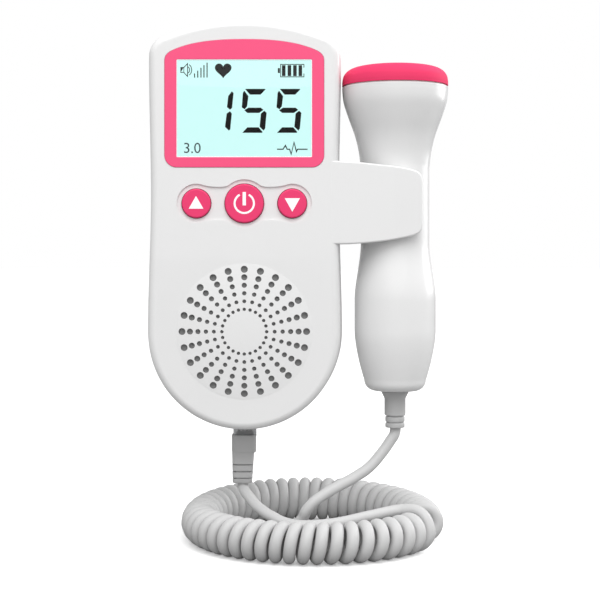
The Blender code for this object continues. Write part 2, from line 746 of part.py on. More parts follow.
def cover_solid(half_width, high_z, inner_y):
    """The part of the case's back that a channel of this width and depth takes."""
    bm = case_half(0.0, BACK_EDGE_RADIUS, False)
    planes = (
        ((half_width, 0.0, 0.0), (1.0, 0.0, 0.0)),
        ((-half_width, 0.0, 0.0), (-1.0, 0.0, 0.0)),
        ((0.0, 0.0, high_z), (0.0, 0.0, 1.0)),
        ((0.0, inner_y, 0.0), (0.0, -1.0, 0.0)),
    )
    for point, normal in planes:
        result = bmesh.ops.bisect_plane(
            bm,
            geom=bm.verts[:] + bm.edges[:] + bm.faces[:],
            plane_co=point,
            plane_no=normal,
            clear_outer=True,
        )
        edges = [item for item in result["geom_cut"] if isinstance(item, bmesh.types.BMEdge)]
        bmesh.ops.contextual_create(bm, geom=edges)
    return bm


def build_rear_shell(white, datum):
    """The rear shell: outer solid, less the cover's channel, less a space that goes round the bay."""
    shell = add_object("rear_shell", case_half(0.0, BACK_EDGE_RADIUS, False), white, datum)
    inner_y = PROBE_Y + CLIP_GAP / 2
    cut_with(shell, "rear_finger", clip_finger(inner_y + CLIP_THICKNESS, inner_y), datum, "UNION")
    half, low, floor = bay_half_width(), BAY_LOW_Z, bay_floor_y()
    out = half + BAY_WALL
    channel_y = -COVER_THICKNESS - FIT
    channel_half = COVER_HALF_WIDTH + FIT
    channel_top = COVER_HIGH_Z + FIT
    space = add_object("rear_space", cavity(SEAM_Y - OVERRUN, INNER_BACK_Y), None, datum)
    bay = box((-out, floor - BAY_WALL, low - BAY_WALL), (out, OVERRUN, BAY_HIGH_Z + BAY_WALL))
    cut_with(space, "bay_outside", bay, datum)
    floor_low = (-channel_half - CASE_WALL, channel_y - CASE_WALL, BASE_Z - OVERRUN)
    channel_floor = box(floor_low, (channel_half + CASE_WALL, OVERRUN, channel_top + CASE_WALL))
    cut_with(space, "channel_floor", channel_floor, datum)
    for i, place in enumerate(case_screw_places()):
        post = boss(place, REAR_BOSS_RADIUS, SEAM_Y + FIT, OVERRUN)
        cut_with(space, f"rear_boss_{i}", post, datum)
    combine(shell, space)
    channel = box((-channel_half, channel_y, BASE_Z - OVERRUN), (channel_half, OVERRUN, channel_top))
    cut_with(shell, "cover_channel", channel, datum)
    cut_with(shell, "bay_inside", box((-half, floor, low), (half, OVERRUN, BAY_HIGH_Z)), datum)
    tray = box((-out, floor - BAY_WALL, low - BAY_WALL), (out, SEAM_Y + ROOT_DEPTH, BAY_HIGH_Z + BAY_WALL))
    tray_piece = add_object("bay_tray", tray, None, datum)
    tray_inside = box((-half, floor, low), (half, OVERRUN, BAY_HIGH_Z))
    cut_with(tray_piece, "bay_tray_inside", tray_inside, datum)
    combine(shell, tray_piece, "UNION")
    for i, place in enumerate(case_screw_places()):
        seat = drill(place, SCREW_HEAD_RADIUS + FIT, -CASE_SCREW_SEAT_DEPTH, OVERRUN)
        cut_with(shell, f"rear_seat_{i}", seat, datum)
        hole = boss(place, SCREW_SHANK_RADIUS + FIT, SEAM_Y - OVERRUN, OVERRUN)
        cut_with(shell, f"rear_hole_{i}", hole, datum)
    cut_with(shell, "rear_cord_opening", cord_opening(), datum)
    cut_with(shell, "rear_earphone_opening", earphone_opening(), datum)
    return close_seams(shell)


def build_cover(white, datum):
    """The battery cover fills its channel down to the lower edge, with finger ribs near its top."""
    solid = cover_solid(COVER_HALF_WIDTH, COVER_HIGH_Z, -COVER_THICKNESS)
    cover = add_object("battery_cover", solid, white, datum)
    for i in range(COVER_GRIP_RIBS):
        z = COVER_GRIP_Z - i * COVER_GRIP_PITCH
        low = (-COVER_GRIP_HALF_WIDTH, -COVER_GRIP_DEPTH, z - COVER_GRIP_PITCH / 4)
        groove = box(low, (COVER_GRIP_HALF_WIDTH, OVERRUN, z + COVER_GRIP_PITCH / 4))
        cut_with(cover, f"cover_groove_{i}", groove, datum)
    return cover


def screw(name, steel, parent, place, seat_y, thickness, shank_end_y, outwards):
    """A pan-head screw along Y: its head under seat_y's outer side, its shank towards the front."""
    x, z = place
    head_y = seat_y + outwards * thickness
    profile = (
        (0.0, shank_end_y),
        (SCREW_SHANK_RADIUS / 2, shank_end_y),
        (SCREW_SHANK_RADIUS, shank_end_y + SCREW_SHANK_RADIUS),
        (SCREW_SHANK_RADIUS, seat_y),
        (SCREW_HEAD_RADIUS, seat_y),
        (SCREW_HEAD_RADIUS, head_y),
        (0.0, head_y),
    )
    piece = add_object(name, facing_front(turned(profile, SMALL_ROUND_STEPS), x, z), steel, parent)
    half, reach = SCREW_CROSS_WIDTH / 2, SCREW_HEAD_RADIUS * SCREW_CROSS_REACH_SHARE
    depth = min(SCREW_CROSS_DEPTH, thickness / 2)
    upright = box((x - half, head_y - depth, z - reach), (x + half, head_y + OVERRUN, z + reach))
    across = box((x - reach, head_y - depth, z - half), (x + reach, head_y + OVERRUN, z + half))
    cut_with(piece, f"{name}_slot_upright", upright, parent)
    cut_with(piece, f"{name}_slot_across", across, parent)
    return piece


def build_screws(steel, datum):
    seat_y = -CASE_SCREW_SEAT_DEPTH + FIT
    for i, place in enumerate(case_screw_places(), 1):
        end_y = SEAM_Y - SCREW_BITE + FIT
        screw(f"case_screw_{i}", steel, datum, place, seat_y, SCREW_HEAD_THICKNESS, end_y, 1.0)
    for i, place in enumerate(board_screw_places(), 1):
        end_y = BOARD_FRONT_Y - BOARD_SCREW_BITE + FIT
        head = BOARD_SCREW_HEAD_THICKNESS
        screw(f"board_screw_{i}", steel, datum, place, BOARD_BACK_Y + FIT, head, end_y, 1.0)


def build_screen(pink, clear, glass, black, datum):
    face_y = FRONT_Y - BEZEL_STAND
    slab = prism(bezel_outline(0.0), face_y, face_y + BEZEL_THICKNESS)
    bezel = add_object("screen_bezel", slab, pink, datum)
    window = prism(window_outline(0.0), face_y - OVERRUN, face_y + BEZEL_THICKNESS + OVERRUN)
    cut_with(bezel, "bezel_window", window, datum)
    ledge_y = face_y + BEZEL_THICKNESS + FIT
    lens_y = ledge_y - FIT - LENS_THICKNESS
    add_object("screen_lens", prism(window_outline(FIT), lens_y, lens_y + LENS_THICKNESS), clear, datum)
    lcd_y = INNER_FRONT_Y + FIT
    lcd = window_outline(-LCD_MARGIN)
    add_object("lcd_panel", prism(lcd, lcd_y, lcd_y + LCD_THICKNESS), glass, datum)
    frame_y = lcd_y + LCD_THICKNESS + FIT
    frame = window_outline(-LCD_MARGIN + LCD_FRAME_WALL)
    add_object("lcd_backlight", prism(frame, frame_y, frame_y + LCD_FRAME_THICKNESS), black, datum)


def keypad_front_y():
    return BOARD_FRONT_Y - FIT - SWITCH_HEIGHT - FIT - KEYPAD_THICKNESS


def build_buttons(pink, silicone, black, datum):
    """Each button stands in its own hole; its flange lies behind the front wall."""
    for name, x, radius in button_sizes():
        pivot = make_empty(f"{name}_axis", (x, FRONT_Y, BUTTON_ROW_Z), datum)
        flange_front = CASE_WALL + FIT
        flange_back = flange_front + BUTTON_FLANGE
        stem = radius * BUTTON_STEM_SHARE
        profile = (
            (0.0, -BUTTON_STAND),
            (radius - BUTTON_EDGE_RADIUS, -BUTTON_STAND),
            (radius, BUTTON_EDGE_RADIUS - BUTTON_STAND),
            (radius, flange_front),
            (radius + BUTTON_FLANGE, flange_front),
            (radius + BUTTON_FLANGE, flange_back),
            (stem, flange_back),
            (stem, flange_back + BUTTON_STEM_DEPTH),
            (0.0, flange_back + BUTTON_STEM_DEPTH),
        )
        add_object(name, facing_front(turned(profile, ROUND_STEPS), 0.0, 0.0), pink, pivot)
    half_width = SIDE_BUTTON_X + SIDE_BUTTON_RADIUS + KEYPAD_MARGIN - BUTTON_FLANGE
    half_height = POWER_BUTTON_RADIUS + KEYPAD_MARGIN
    low, high = BUTTON_ROW_Z - half_height, BUTTON_ROW_Z + half_height
    sheet = round_rectangle(-half_width, half_width, low, high, KEYPAD_MARGIN)
    front_y = keypad_front_y()
    add_object("keypad_membrane", prism(sheet, front_y, front_y + KEYPAD_THICKNESS), silicone, datum)
    for name, x, _ in button_sizes():
        back_y = BOARD_FRONT_Y - FIT
        body_y = back_y - SWITCH_HEIGHT * SWITCH_BODY_SHARE
        half = SWITCH_SIDE / 2
        body = box((x - half, body_y, BUTTON_ROW_Z - half), (x + half, back_y, BUTTON_ROW_Z + half))
        switch = add_object(name.replace("button", "switch"), body, black, datum)
        place, root_y = (x, BUTTON_ROW_Z), body_y + SWITCH_PLUNGER_ROOT
        plunger = boss(place, SWITCH_PLUNGER_RADIUS, back_y - SWITCH_HEIGHT, root_y)
        cut_with(switch, f"{name}_plunger", plunger, datum, "UNION")


def build_speaker(black, paper, steel, datum):
    front_y = INNER_FRONT_Y + FIT
    rim_y = front_y + SPEAKER_RIM_THICKNESS
    basket_y = front_y + SPEAKER_BASKET_DEPTH
    inner = SPEAKER_RADIUS - SPEAKER_RIM_WIDTH
    wall = SPEAKER_BASKET_WALL
    frame = (
        (inner, front_y),
        (SPEAKER_RADIUS, front_y),
        (SPEAKER_RADIUS, rim_y),
        (inner + wall, rim_y),
        (SPEAKER_BASKET_RADIUS, basket_y),
        (CONE_NECK_RADIUS - 2 * wall, basket_y),
        (CONE_NECK_RADIUS - 2 * wall, basket_y - wall),
        (SPEAKER_BASKET_RADIUS - wall, basket_y - wall),
        (inner, rim_y),
    )
    add_object("speaker_frame", facing_front(turned(frame, ROUND_STEPS), 0.0, GRILLE_Z), black, datum)
    rest_y = basket_y - wall - FIT
    cone = (
        (0.0, rest_y - 2 * CONE_WALL),
        (CONE_NECK_RADIUS, rest_y - CONE_WALL),
        (inner - FIT, front_y + CONE_WALL),
        (inner - FIT, front_y + 2 * CONE_WALL),
        (CONE_NECK_RADIUS, rest_y),
        (0.0, rest_y),
    )
    add_object("speaker_cone", facing_front(turned(cone, ROUND_STEPS), 0.0, GRILLE_Z), paper, datum)
    magnet_y = basket_y + FIT
    magnet = front_disc(MAGNET_RADIUS, magnet_y, magnet_y + MAGNET_THICKNESS, 0.0, GRILLE_Z)
    add_object("speaker_magnet", magnet, steel, datum)


def build_board(green, datum):
    tongue, low = BOARD_TONGUE_HALF_WIDTH, BOARD_TONGUE_LOW_Z
    half = BOARD_HALF_WIDTH
    right = [(tongue, low), (tongue, BOARD_LOW_Z), (half, BOARD_LOW_Z), (half, BOARD_HIGH_Z)]
    outline = right + [(-x, z) for x, z in reversed(right)]
    board = add_object("main_board", prism(outline, BOARD_FRONT_Y, BOARD_BACK_Y), green, datum)
    for i, place in enumerate(board_screw_places()):
        hole = boss(place, SCREW_SHANK_RADIUS + FIT, BOARD_FRONT_Y - OVERRUN, BOARD_BACK_Y + OVERRUN)
        cut_with(board, f"board_hole_{i}", hole, datum)


def build_sockets(black, datum):
    near_y = BOARD_BACK_Y + FIT
    far_y = 2 * CORD_AXIS_Y - near_y
    low, high = SOCKET_LOW_Z, SOCKET_HIGH_Z
    socket = box((-SOCKET_HALF_WIDTH, near_y, low), (SOCKET_HALF_WIDTH, far_y, high))
    jack = add_object("cord_socket", socket, black, datum)
    half = SOCKET_HALF_WIDTH - SOCKET_WALL
    inside_low = (-half, near_y + SOCKET_WALL, low - OVERRUN)
    inside = box(inside_low, (half, far_y - SOCKET_WALL, high - SOCKET_WALL))
    cut_with(jack, "socket_inside", inside, datum)
    inner_x = -side_half_width(EARPHONE_Z) + CASE_WALL + draft(near_y) + FIT
    side = EARPHONE_SIDE / 2
    centre_y = earphone_centre_y()
    body_high = (inner_x + EARPHONE_LENGTH, centre_y + side, EARPHONE_Z + side)
    body = box((inner_x, near_y, EARPHONE_Z - side), body_high)
    phones = add_object("earphone_socket", body, black, datum)
    turn = Matrix.Rotation(math.radians(90.0), 4, "Y")
    nose = disc(EARPHONE_NOSE_RADIUS, inner_x - CASE_WALL, inner_x + CASE_WALL, SMALL_ROUND_STEPS)
    bore_end = inner_x + EARPHONE_LENGTH - CASE_WALL
    bore = disc(EARPHONE_BORE_RADIUS, inner_x - OVERRUN, bore_end, SMALL_ROUND_STEPS)
    for name, shape, operation in (("earphone_nose", nose, "UNION"), ("earphone_bore", bore, "DIFFERENCE")):
        bmesh.ops.transform(shape, matrix=turn, verts=shape.verts)
        cut_with(phones, name, moved(shape, (0.0, centre_y, EARPHONE_Z)), datum, operation)


def cell_axis_y():
    return bay_floor_y() + FIT + CELL_RADIUS


def build_cells(label, steel, datum):
    """Two AA cells side by side, head to tail, between a sprung contact and a plate each."""
    pad = CONTACT_PLATE_THICKNESS + 2 * FIT
    for name, x, heads_up in (("cell_left", -CELL_PITCH / 2, True), ("cell_right", CELL_PITCH / 2, False)):
        rim = CELL_RADIUS * CELL_RIM_SHARE
        profile = [
            (0.0, 0.0),
            (rim, 0.0),
            (CELL_RADIUS, CELL_RADIUS - rim),
            (CELL_RADIUS, CELL_LENGTH - (CELL_RADIUS - rim)),
            (rim, CELL_LENGTH),
            (CELL_PIP_RADIUS, CELL_LENGTH),
            (CELL_PIP_RADIUS, CELL_LENGTH + CELL_PIP_LENGTH),
            (0.0, CELL_LENGTH + CELL_PIP_LENGTH),
        ]
        length = CELL_LENGTH + CELL_PIP_LENGTH
        start = BAY_HIGH_Z - pad - length if heads_up else BAY_LOW_Z + pad + length
        way = 1.0 if heads_up else -1.0
        bm = turned([(radius, start + way * height) for radius, height in profile], ROUND_STEPS)
        add_object(name, moved(bm, (x, cell_axis_y(), 0.0)), label, datum)
        plate_z = BAY_HIGH_Z - FIT if heads_up else BAY_LOW_Z + FIT
        spring_z = BAY_LOW_Z + FIT if heads_up else BAY_HIGH_Z - FIT
        contact_plate(f"plate_contact_{name[5:]}", x, plate_z, -way, steel, datum)
        spring = contact_plate(f"spring_contact_{name[5:]}", x, spring_z, way, steel, datum)
        contact_spring(spring, x, spring_z + way * CONTACT_PLATE_THICKNESS, way, datum)


def contact_plate(name, x, wall_z, way, steel, datum):
    half = CONTACT_PLATE_HALF_WIDTH
    low_z, high_z = sorted((wall_z, wall_z + way * CONTACT_PLATE_THICKNESS))
    y = cell_axis_y()
    return add_object(name, box((x - half, y - half, low_z), (x + half, y + half, high_z)), steel, datum)


def contact_spring(plate, x, base_z, way, datum):
    """The spring as a short stepped cone standing on its plate, up to the cell's flat end."""
    top = base_z + way * (CONTACT_SPRING_LENGTH - FIT)
    step = (top - base_z) / (2 * CONTACT_SPRING_TURNS)
    points = [(0.0, base_z - way * CONTACT_PLATE_THICKNESS / 2)]
    height = points[0][1]
    for i in range(2 * CONTACT_SPRING_TURNS):
        inwards = (CONTACT_SPRING_WIRE if i % 2 else 0.0) + i * CONTACT_SPRING_WIRE / 4
        radius = CONTACT_SPRING_RADIUS - inwards
        points += [(radius, height), (radius, base_z + step * (i + 1))]
        height = base_z + step * (i + 1)
    points.append((0.0, top))
    bm = moved(turned(points, SMALL_ROUND_STEPS), (x, cell_axis_y(), 0.0))
    cut_with(plate, f"{plate.name}_coil", bm, datum, "UNION")


def build_plug(clear, grey, datum):
    """The clear modular plug with its latch, and the moulded boot that grips the cord."""
    half, depth = PLUG_WIDTH / 2, PLUG_DEPTH / 2
    body = box((-half, CORD_AXIS_Y - depth, PLUG_TAIL_Z), (half, CORD_AXIS_Y + depth, PLUG_TIP_Z))
    plug = add_object("plug_body", body, clear, datum)
    latch_low = (-PLUG_LATCH_HALF_WIDTH, CORD_AXIS_Y + depth - WELD, PLUG_TAIL_Z + FIT)
    latch_high = (PLUG_LATCH_HALF_WIDTH, CORD_AXIS_Y + depth + PLUG_LATCH_THICKNESS, PLUG_TIP_Z - FIT)
    cut_with(plug, "plug_latch", box(latch_low, latch_high), datum, "UNION")
    deep = BOOT_DEPTH / BOOT_WIDTH
    stations = [(PLUG_TAIL_Z - FIT, BOOT_WIDTH), (BOOT_STEP_Z, BOOT_WIDTH), (BOOT_STEP_Z, BOOT_NECK_WIDTH)]
    for drop in BOOT_GROOVE_DROPS:
        groove_z = BOOT_STEP_Z - drop
        share = (BOOT_STEP_Z - groove_z) / (BOOT_STEP_Z - BOOT_LOW_Z)
        width = blend_values(BOOT_NECK_WIDTH, BOOT_TAIL_WIDTH, share)
        high, low = groove_z + BOOT_GROOVE_HALF_HEIGHT, groove_z - BOOT_GROOVE_HALF_HEIGHT
        inner = width - 2 * BOOT_GROOVE_DEPTH
        stations += [(high, width), (high, inner), (low, inner), (low, width)]
    stations.append((BOOT_LOW_Z, BOOT_TAIL_WIDTH))
    drops = [BOOT_EDGE_DROP if i % 2 else 0.0 for i in range(len(stations))]
    rings = [boot_section(z - drop, width, width * deep) for drop, (z, width) in zip(drops, stations)]
    add_object("plug_boot", loft(rings), grey, datum)


def boot_section(z, width, depth):
    half_width, half_depth = width / 2, depth / 2
    radius = half_depth / 2
    outline = round_rectangle(-half_width, half_width, -half_depth, half_depth, radius)
    return [(x, CORD_AXIS_Y + y, z) for x, y in outline]


def smooth_route(points, step):
    """Points at even steps along a smooth curve through the route; its first and last run stay straight."""
    route = [Vector(point) for point in points]
    fine = []
    for a, b, c, d in zip(route, route[1:], route[2:], route[3:]):
        for i in range(ROUTE_SAMPLES):
            t = i / ROUTE_SAMPLES
            bend = (2 * a - 5 * b + 4 * c - d) * t**2 + (3 * b - a - 3 * c + d) * t**3
            fine.append((2 * b + (c - a) * t + bend) / 2)
    fine.append(route[-2])
    spans = [(q - p).length for p, q in zip(fine, fine[1:])]
    count = max(2, round(sum(spans) / step))
    wanted = [sum(spans) * i / count for i in range(count + 1)]
    picked, walked, place = [], 0.0, 0
    for target in wanted[:-1]:
        while walked + spans[place] < target:
            walked += spans[place]
            place += 1
        picked.append(fine[place].lerp(fine[place + 1], (target - walked) / spans[place]))
    return [route[0]] + picked + [fine[-1], route[-1]]


def add_tube(name, points, resolution, material, parent):
    """A filled tube of the cord's diameter along plain points."""
    curve = bpy.data.curves.new(name, "CURVE")
    curve.dimensions = "3D"
    curve.bevel_depth = CORD_DIAMETER / 2
    curve.bevel_resolution = resolution
    curve.use_fill_caps = True
    spline = curve.splines.new("POLY")
    spline.points.add(len(points) - 1)
    for vert, point in zip(spline.points, points):
        vert.co = (*point, 1.0)
    curve.materials.append(material)
    tube = bpy.data.objects.new(name, curve)
    tube.parent = parent
    bpy.context.collection.objects.link(tube)
    return tube


def curl_point(share):
    """A point of the curly cord: a left-handed helix whose own axis bends into a flat ring."""
    around = math.radians(CURL_START_DEGREES + CURL_SWEEP_DEGREES * share)
    turn = math.pi / 2 - math.tau * CURL_TURNS * share
    small = (CURL_DIAMETER - CORD_DIAMETER) / 2
    reach = CURL_RING_RADIUS + small * math.cos(turn)
    x = CURL_RING_X + reach * math.cos(around)
    y = CURL_RING_Y + reach * math.sin(around)
    return Vector((x, y, CURL_RING_Z + small * math.sin(turn)))


def curl_end(share, outwards):
    """The end of the short straight run that carries the first or last curl inwards."""
    around = math.radians(CURL_START_DEGREES + CURL_SWEEP_DEGREES * share)
    inwards = Vector((-math.cos(around), -math.sin(around), 0.0))
    return curl_point(share) + inwards * outwards


def least_curl_gap():
    """The least clear distance between neighbouring curls, measured on points of the curve."""
    count = int(CURL_TURNS * CURL_GAP_SAMPLES)
    points = [curl_point(i / count) for i in range(count + 1)]
    least = CURL_DIAMETER
    for i in range(count + 1):
        for j in range(i + CURL_GAP_SAMPLES // 2, min(count + 1, i + 2 * CURL_GAP_SAMPLES)):
            least = min(least, (points[i] - points[j]).length)
    return least - CORD_DIAMETER


def build_cord(grey, datum):
    count = round(CURL_TURNS * CURL_POINTS_PER_TURN)
    curls = [curl_end(0.0, CORD_DIAMETER)]
    curls += [curl_point(i / count) for i in range(count + 1)]
    curls.append(curl_end(1.0, CORD_DIAMETER))
    add_tube("curly_cord", curls, 1, grey, datum)
    gap = least_curl_gap()
    print(f"least gap between the curls: {gap * 1000:.3f} mm")
    if gap < LEAST_CURL_GAP:
        print("the curls are closer than they should be")
    step = LEAD_STEP_DIAMETERS * CORD_DIAMETER
    reach = CORD_DIAMETER + FIT
    leads = (("monitor_lead", MONITOR_LEAD_ROUTE, 0.0), ("probe_lead", PROBE_LEAD_ROUTE, 1.0))
    for name, route, share in leads:
        ends = [curl_end(share, reach + CORD_DIAMETER), curl_end(share, reach)]
        add_tube(name, smooth_route([*route, *ends], step), 2, grey, datum)
    length = sum((q - p).length for p, q in zip(curls, curls[1:]))
    print(f"curly length: {length:.3f} m")


def handle_outline(inset):
    """The probe handle's (radius, height) points from the cap's seam down to its lower corner."""
    points = []
    rise = PROBE_CAP_SEAM_Z - PROBE_NECK_HIGH_Z
    for height_share, radius_share in reversed(HEAD_FLARE_SHARES):
        radius = blend_values(PROBE_NECK_RADIUS, PROBE_HEAD_RADIUS, radius_share)
        points.append((radius - inset, PROBE_NECK_HIGH_Z + rise * height_share))
    for i in range(GRIP_STEPS + 1):
        share = i / GRIP_STEPS
        radius = blend_values(PROBE_NECK_RADIUS, PROBE_GRIP_RADIUS, ease(share))
        points.append((radius - inset, blend_values(PROBE_NECK_LOW_Z, PROBE_GRIP_HIGH_Z, share)))
    for i in range(GRIP_STEPS + 1):
        share = i / GRIP_STEPS
        radius = blend_values(PROBE_GRIP_RADIUS, PROBE_TAIL_RADIUS, share**PROBE_TAPER_POWER)
        points.append((radius - inset, blend_values(PROBE_GRIP_LOW_Z, PROBE_TAIL_Z, share)))
    return points


def half_turned(profile, start, steps):
    """A closed profile turned through half a circle, with flat ends."""
    rings = []
    for i in range(steps + 1):
        angle = start + math.pi * i / steps
        x, y = math.cos(angle), math.sin(angle)
        rings.append([(radius * x, radius * y, height) for radius, height in profile])
    return loft(rings)


def build_probe_shells(white, axis):
    top = PROBE_CAP_SEAM_Z - FIT
    outer = [(PROBE_HEAD_RADIUS, top)] + handle_outline(0.0)[1:]
    corner = PROBE_TAIL_Z - PROBE_END_Z
    hole = RELIEF_COLLAR_RADIUS + FIT
    third = corner / 3
    base = [(PROBE_TAIL_RADIUS - third, PROBE_END_Z + third), (PROBE_TAIL_RADIUS - corner, PROBE_END_Z)]
    base += [(hole, PROBE_END_Z), (hole, PROBE_END_Z + PROBE_WALL)]
    floor_z = PROBE_END_Z + 2 * PROBE_WALL
    inner = [point for point in handle_outline(PROBE_WALL) if point[1] > floor_z]
    lowest = (PROBE_TAIL_RADIUS - PROBE_WALL, PROBE_END_Z + PROBE_WALL)
    profile = outer + base + [lowest] + list(reversed(inner[1:])) + [(PROBE_HEAD_RADIUS - PROBE_WALL, top)]
    halves = (("probe_front_shell", math.pi, -FIT / 2), ("probe_rear_shell", 0.0, FIT / 2))
    for name, start, shift in halves:
        half = half_turned(profile, start, ROUND_STEPS // 2)
        add_object(name, moved(half, (0.0, shift, 0.0)), white, axis)


def dome_outline(inset):
    """The cap's dome from its seam to its crown, drawn in by inset."""
    rise = PROBE_CAP_TOP_Z - PROBE_CAP_SEAM_Z - inset
    reach = PROBE_HEAD_RADIUS - inset
    return [(reach * radius, PROBE_CAP_SEAM_Z + rise * height) for height, radius in CAP_DOME_SHARES]


def build_probe_head(pink, black, ceramic, axis):
    spigot = PROBE_HEAD_RADIUS - PROBE_WALL - FIT
    low = PROBE_CAP_SEAM_Z - PROBE_SPIGOT_DEPTH
    bore = spigot - PROBE_SPIGOT_WALL
    outer = dome_outline(0.0) + [(0.0, PROBE_CAP_TOP_Z)]
    inner = [(min(radius, bore), height) for radius, height in dome_outline(PROBE_CAP_WALL)]
    crown = PROBE_CAP_TOP_Z - PROBE_CAP_WALL
    profile = outer + [(0.0, crown)] + list(reversed(inner[2:]))
    profile += [(bore, low), (spigot, low), (spigot, PROBE_CAP_SEAM_Z)]
    add_object("probe_cap", turned(profile, ROUND_STEPS), pink, axis)
    flat = crown - (crown - PROBE_CAP_SEAM_Z) * CRYSTAL_DROP_SHARE
    crystal_low = flat - CRYSTAL_THICKNESS
    for name, start, shift in (("crystal_transmit", math.pi, -1.0), ("crystal_receive", 0.0, 1.0)):
        section = ((0.0, crystal_low), (CRYSTAL_RADIUS, crystal_low), (CRYSTAL_RADIUS, flat), (0.0, flat))
        add_object(name, half_disc(section, start, shift * CRYSTAL_SPLIT / 2), ceramic, axis)
    high = crystal_low - FIT
    rim = bore - FIT
    holder = (
        (0.0, high),
        (CRYSTAL_RADIUS, high),
        (rim, high - HOLDER_THICKNESS / 2),
        (rim, high - HOLDER_THICKNESS),
        (0.0, high - HOLDER_THICKNESS),
    )
    add_object("crystal_holder", turned(holder, ROUND_STEPS), black, axis)


def half_disc(section, start, shift):
    """Half of a flat disc: an outline of the half circle, raised between two heights."""
    radius, low, high = section[1][0], section[0][1], section[2][1]
    outline = arc((0.0, 0.0), radius, start, start + math.pi, ROUND_STEPS // 2)
    rings = [[(x, y + shift, z) for x, y in outline] for z in (low, high)]
    return loft(rings)


def build_probe_inside(green, axis):
    half = PROBE_NECK_RADIUS - PROBE_WALL - FIT
    thick = PROBE_BOARD_THICKNESS / 2
    low = (-half, -thick, PROBE_BOARD_LOW_Z)
    add_object("probe_board", box(low, (half, thick, PROBE_BOARD_HIGH_Z)), green, axis)


def build_relief(grey, axis):
    """The probe's strain relief: a flange inside the tail, a collar, a flare and two rings."""
    flange_low = PROBE_END_Z + PROBE_WALL + FIT
    flange_high = flange_low + RELIEF_FLANGE_THICKNESS
    flare_top = PROBE_END_Z - FIT
    body_top = flare_top - RELIEF_FLARE_LENGTH
    body_low = body_top - RELIEF_BODY_LENGTH
    ring_top = body_low - RELIEF_NECK_LENGTH
    ring_low = ring_top - RELIEF_RING_LENGTH
    last_top = ring_low - RELIEF_NECK_LENGTH
    profile = (
        (0.0, flange_high),
        (RELIEF_FLARE_RADIUS, flange_high),
        (RELIEF_FLARE_RADIUS, flange_low),
        (RELIEF_COLLAR_RADIUS, flange_low),
        (RELIEF_COLLAR_RADIUS, flare_top),
        (RELIEF_FLARE_RADIUS, flare_top),
        (RELIEF_RADIUS, body_top),
        (RELIEF_RADIUS, body_low),
        (RELIEF_NECK_RADIUS, body_low),
        (RELIEF_NECK_RADIUS, ring_top),
        (RELIEF_RING_RADIUS, ring_top),
        (RELIEF_RING_RADIUS, ring_low),
        (RELIEF_NECK_RADIUS, ring_low),
        (RELIEF_NECK_RADIUS, last_top),
        (RELIEF_RING_RADIUS, last_top),
        (RELIEF_RING_RADIUS, RELIEF_LOW_Z),
        (0.0, RELIEF_LOW_Z),
    )
    add_object("probe_relief", turned(profile, RELIEF_STEPS), grey, axis)


def main():
    clear_scene()
    white = make_material("white_case_plastic", (0.80, 0.80, 0.80), 0.35)
    pink = make_material("pink_plastic", (0.91, 0.07, 0.21), 0.35)
    black = make_material("black_plastic", (0.03, 0.03, 0.03), 0.5)
    grey = make_material("grey_cord", (0.50, 0.50, 0.50), 0.5)
    clear = make_material("clear_plastic", (0.75, 0.80, 0.82), 0.1, 0.0, 0.4)
    glass = make_material("lcd_glass", (0.66, 0.94, 0.91), 0.2)
    green = make_material("circuit_board", (0.02, 0.20, 0.08), 0.4)
    steel = make_material("bright_steel", (0.62, 0.62, 0.62), 0.3, 1.0)
    label = make_material("cell_label", (0.10, 0.12, 0.16), 0.4)
    paper = make_material("cone_paper", (0.05, 0.05, 0.05), 0.9)
    silicone = make_material("keypad_silicone", (0.70, 0.70, 0.68), 0.6)
    ceramic = make_material("piezo_ceramic", (0.75, 0.72, 0.60), 0.6)

    datum = make_empty("monitor_middle", (0.0, 0.0, -MOUNT_PAD_RISE))
    cover_axis = make_empty("cover_slide", (0.0, 0.0, 0.0), datum)
    probe_axis = make_empty("probe_axis", (PROBE_X, PROBE_Y, 0.0), datum)

    build_front_shell(white, datum)
    build_rear_shell(white, datum)
    build_cover(white, cover_axis)
    build_screen(pink, clear, glass, black, datum)
    build_buttons(pink, silicone, black, datum)
    build_speaker(black, paper, steel, datum)
    build_board(green, datum)
    build_sockets(black, datum)
    build_cells(label, steel, datum)
    build_screws(steel, datum)
    build_plug(clear, grey, datum)
    build_cord(grey, datum)
    build_probe_shells(white, probe_axis)
    build_probe_head(pink, black, ceramic, probe_axis)
    build_probe_inside(green, probe_axis)
    build_relief(grey, probe_axis)


main()
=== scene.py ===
"""Looks of a fetal doppler monitor: fine shells, lit display, keys, probe and curly cord."""

import math

import bpy
from bpy.props import FloatProperty, FloatVectorProperty, IntProperty, PointerProperty
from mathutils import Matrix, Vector


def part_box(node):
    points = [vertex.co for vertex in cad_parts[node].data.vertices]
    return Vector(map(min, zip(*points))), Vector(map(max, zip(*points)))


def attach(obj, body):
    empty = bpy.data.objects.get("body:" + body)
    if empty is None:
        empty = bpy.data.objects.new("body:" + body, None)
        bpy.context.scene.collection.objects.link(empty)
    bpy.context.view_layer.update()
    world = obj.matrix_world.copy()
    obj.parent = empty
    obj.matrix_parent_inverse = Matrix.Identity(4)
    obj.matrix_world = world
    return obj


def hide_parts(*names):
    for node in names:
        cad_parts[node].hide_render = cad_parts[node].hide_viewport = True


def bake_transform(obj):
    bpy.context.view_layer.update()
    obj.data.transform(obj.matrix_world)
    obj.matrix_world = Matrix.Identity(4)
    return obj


bl_info = {
    "name": "Fetal doppler monitor",
    "version": (1, 0, 0),
    "blender": (4, 5, 0),
    "location": "3D View > Sidebar > Doppler",
    "description": "Builds the looks of a fetal doppler monitor round its packed frame",
    "category": "Object",
}

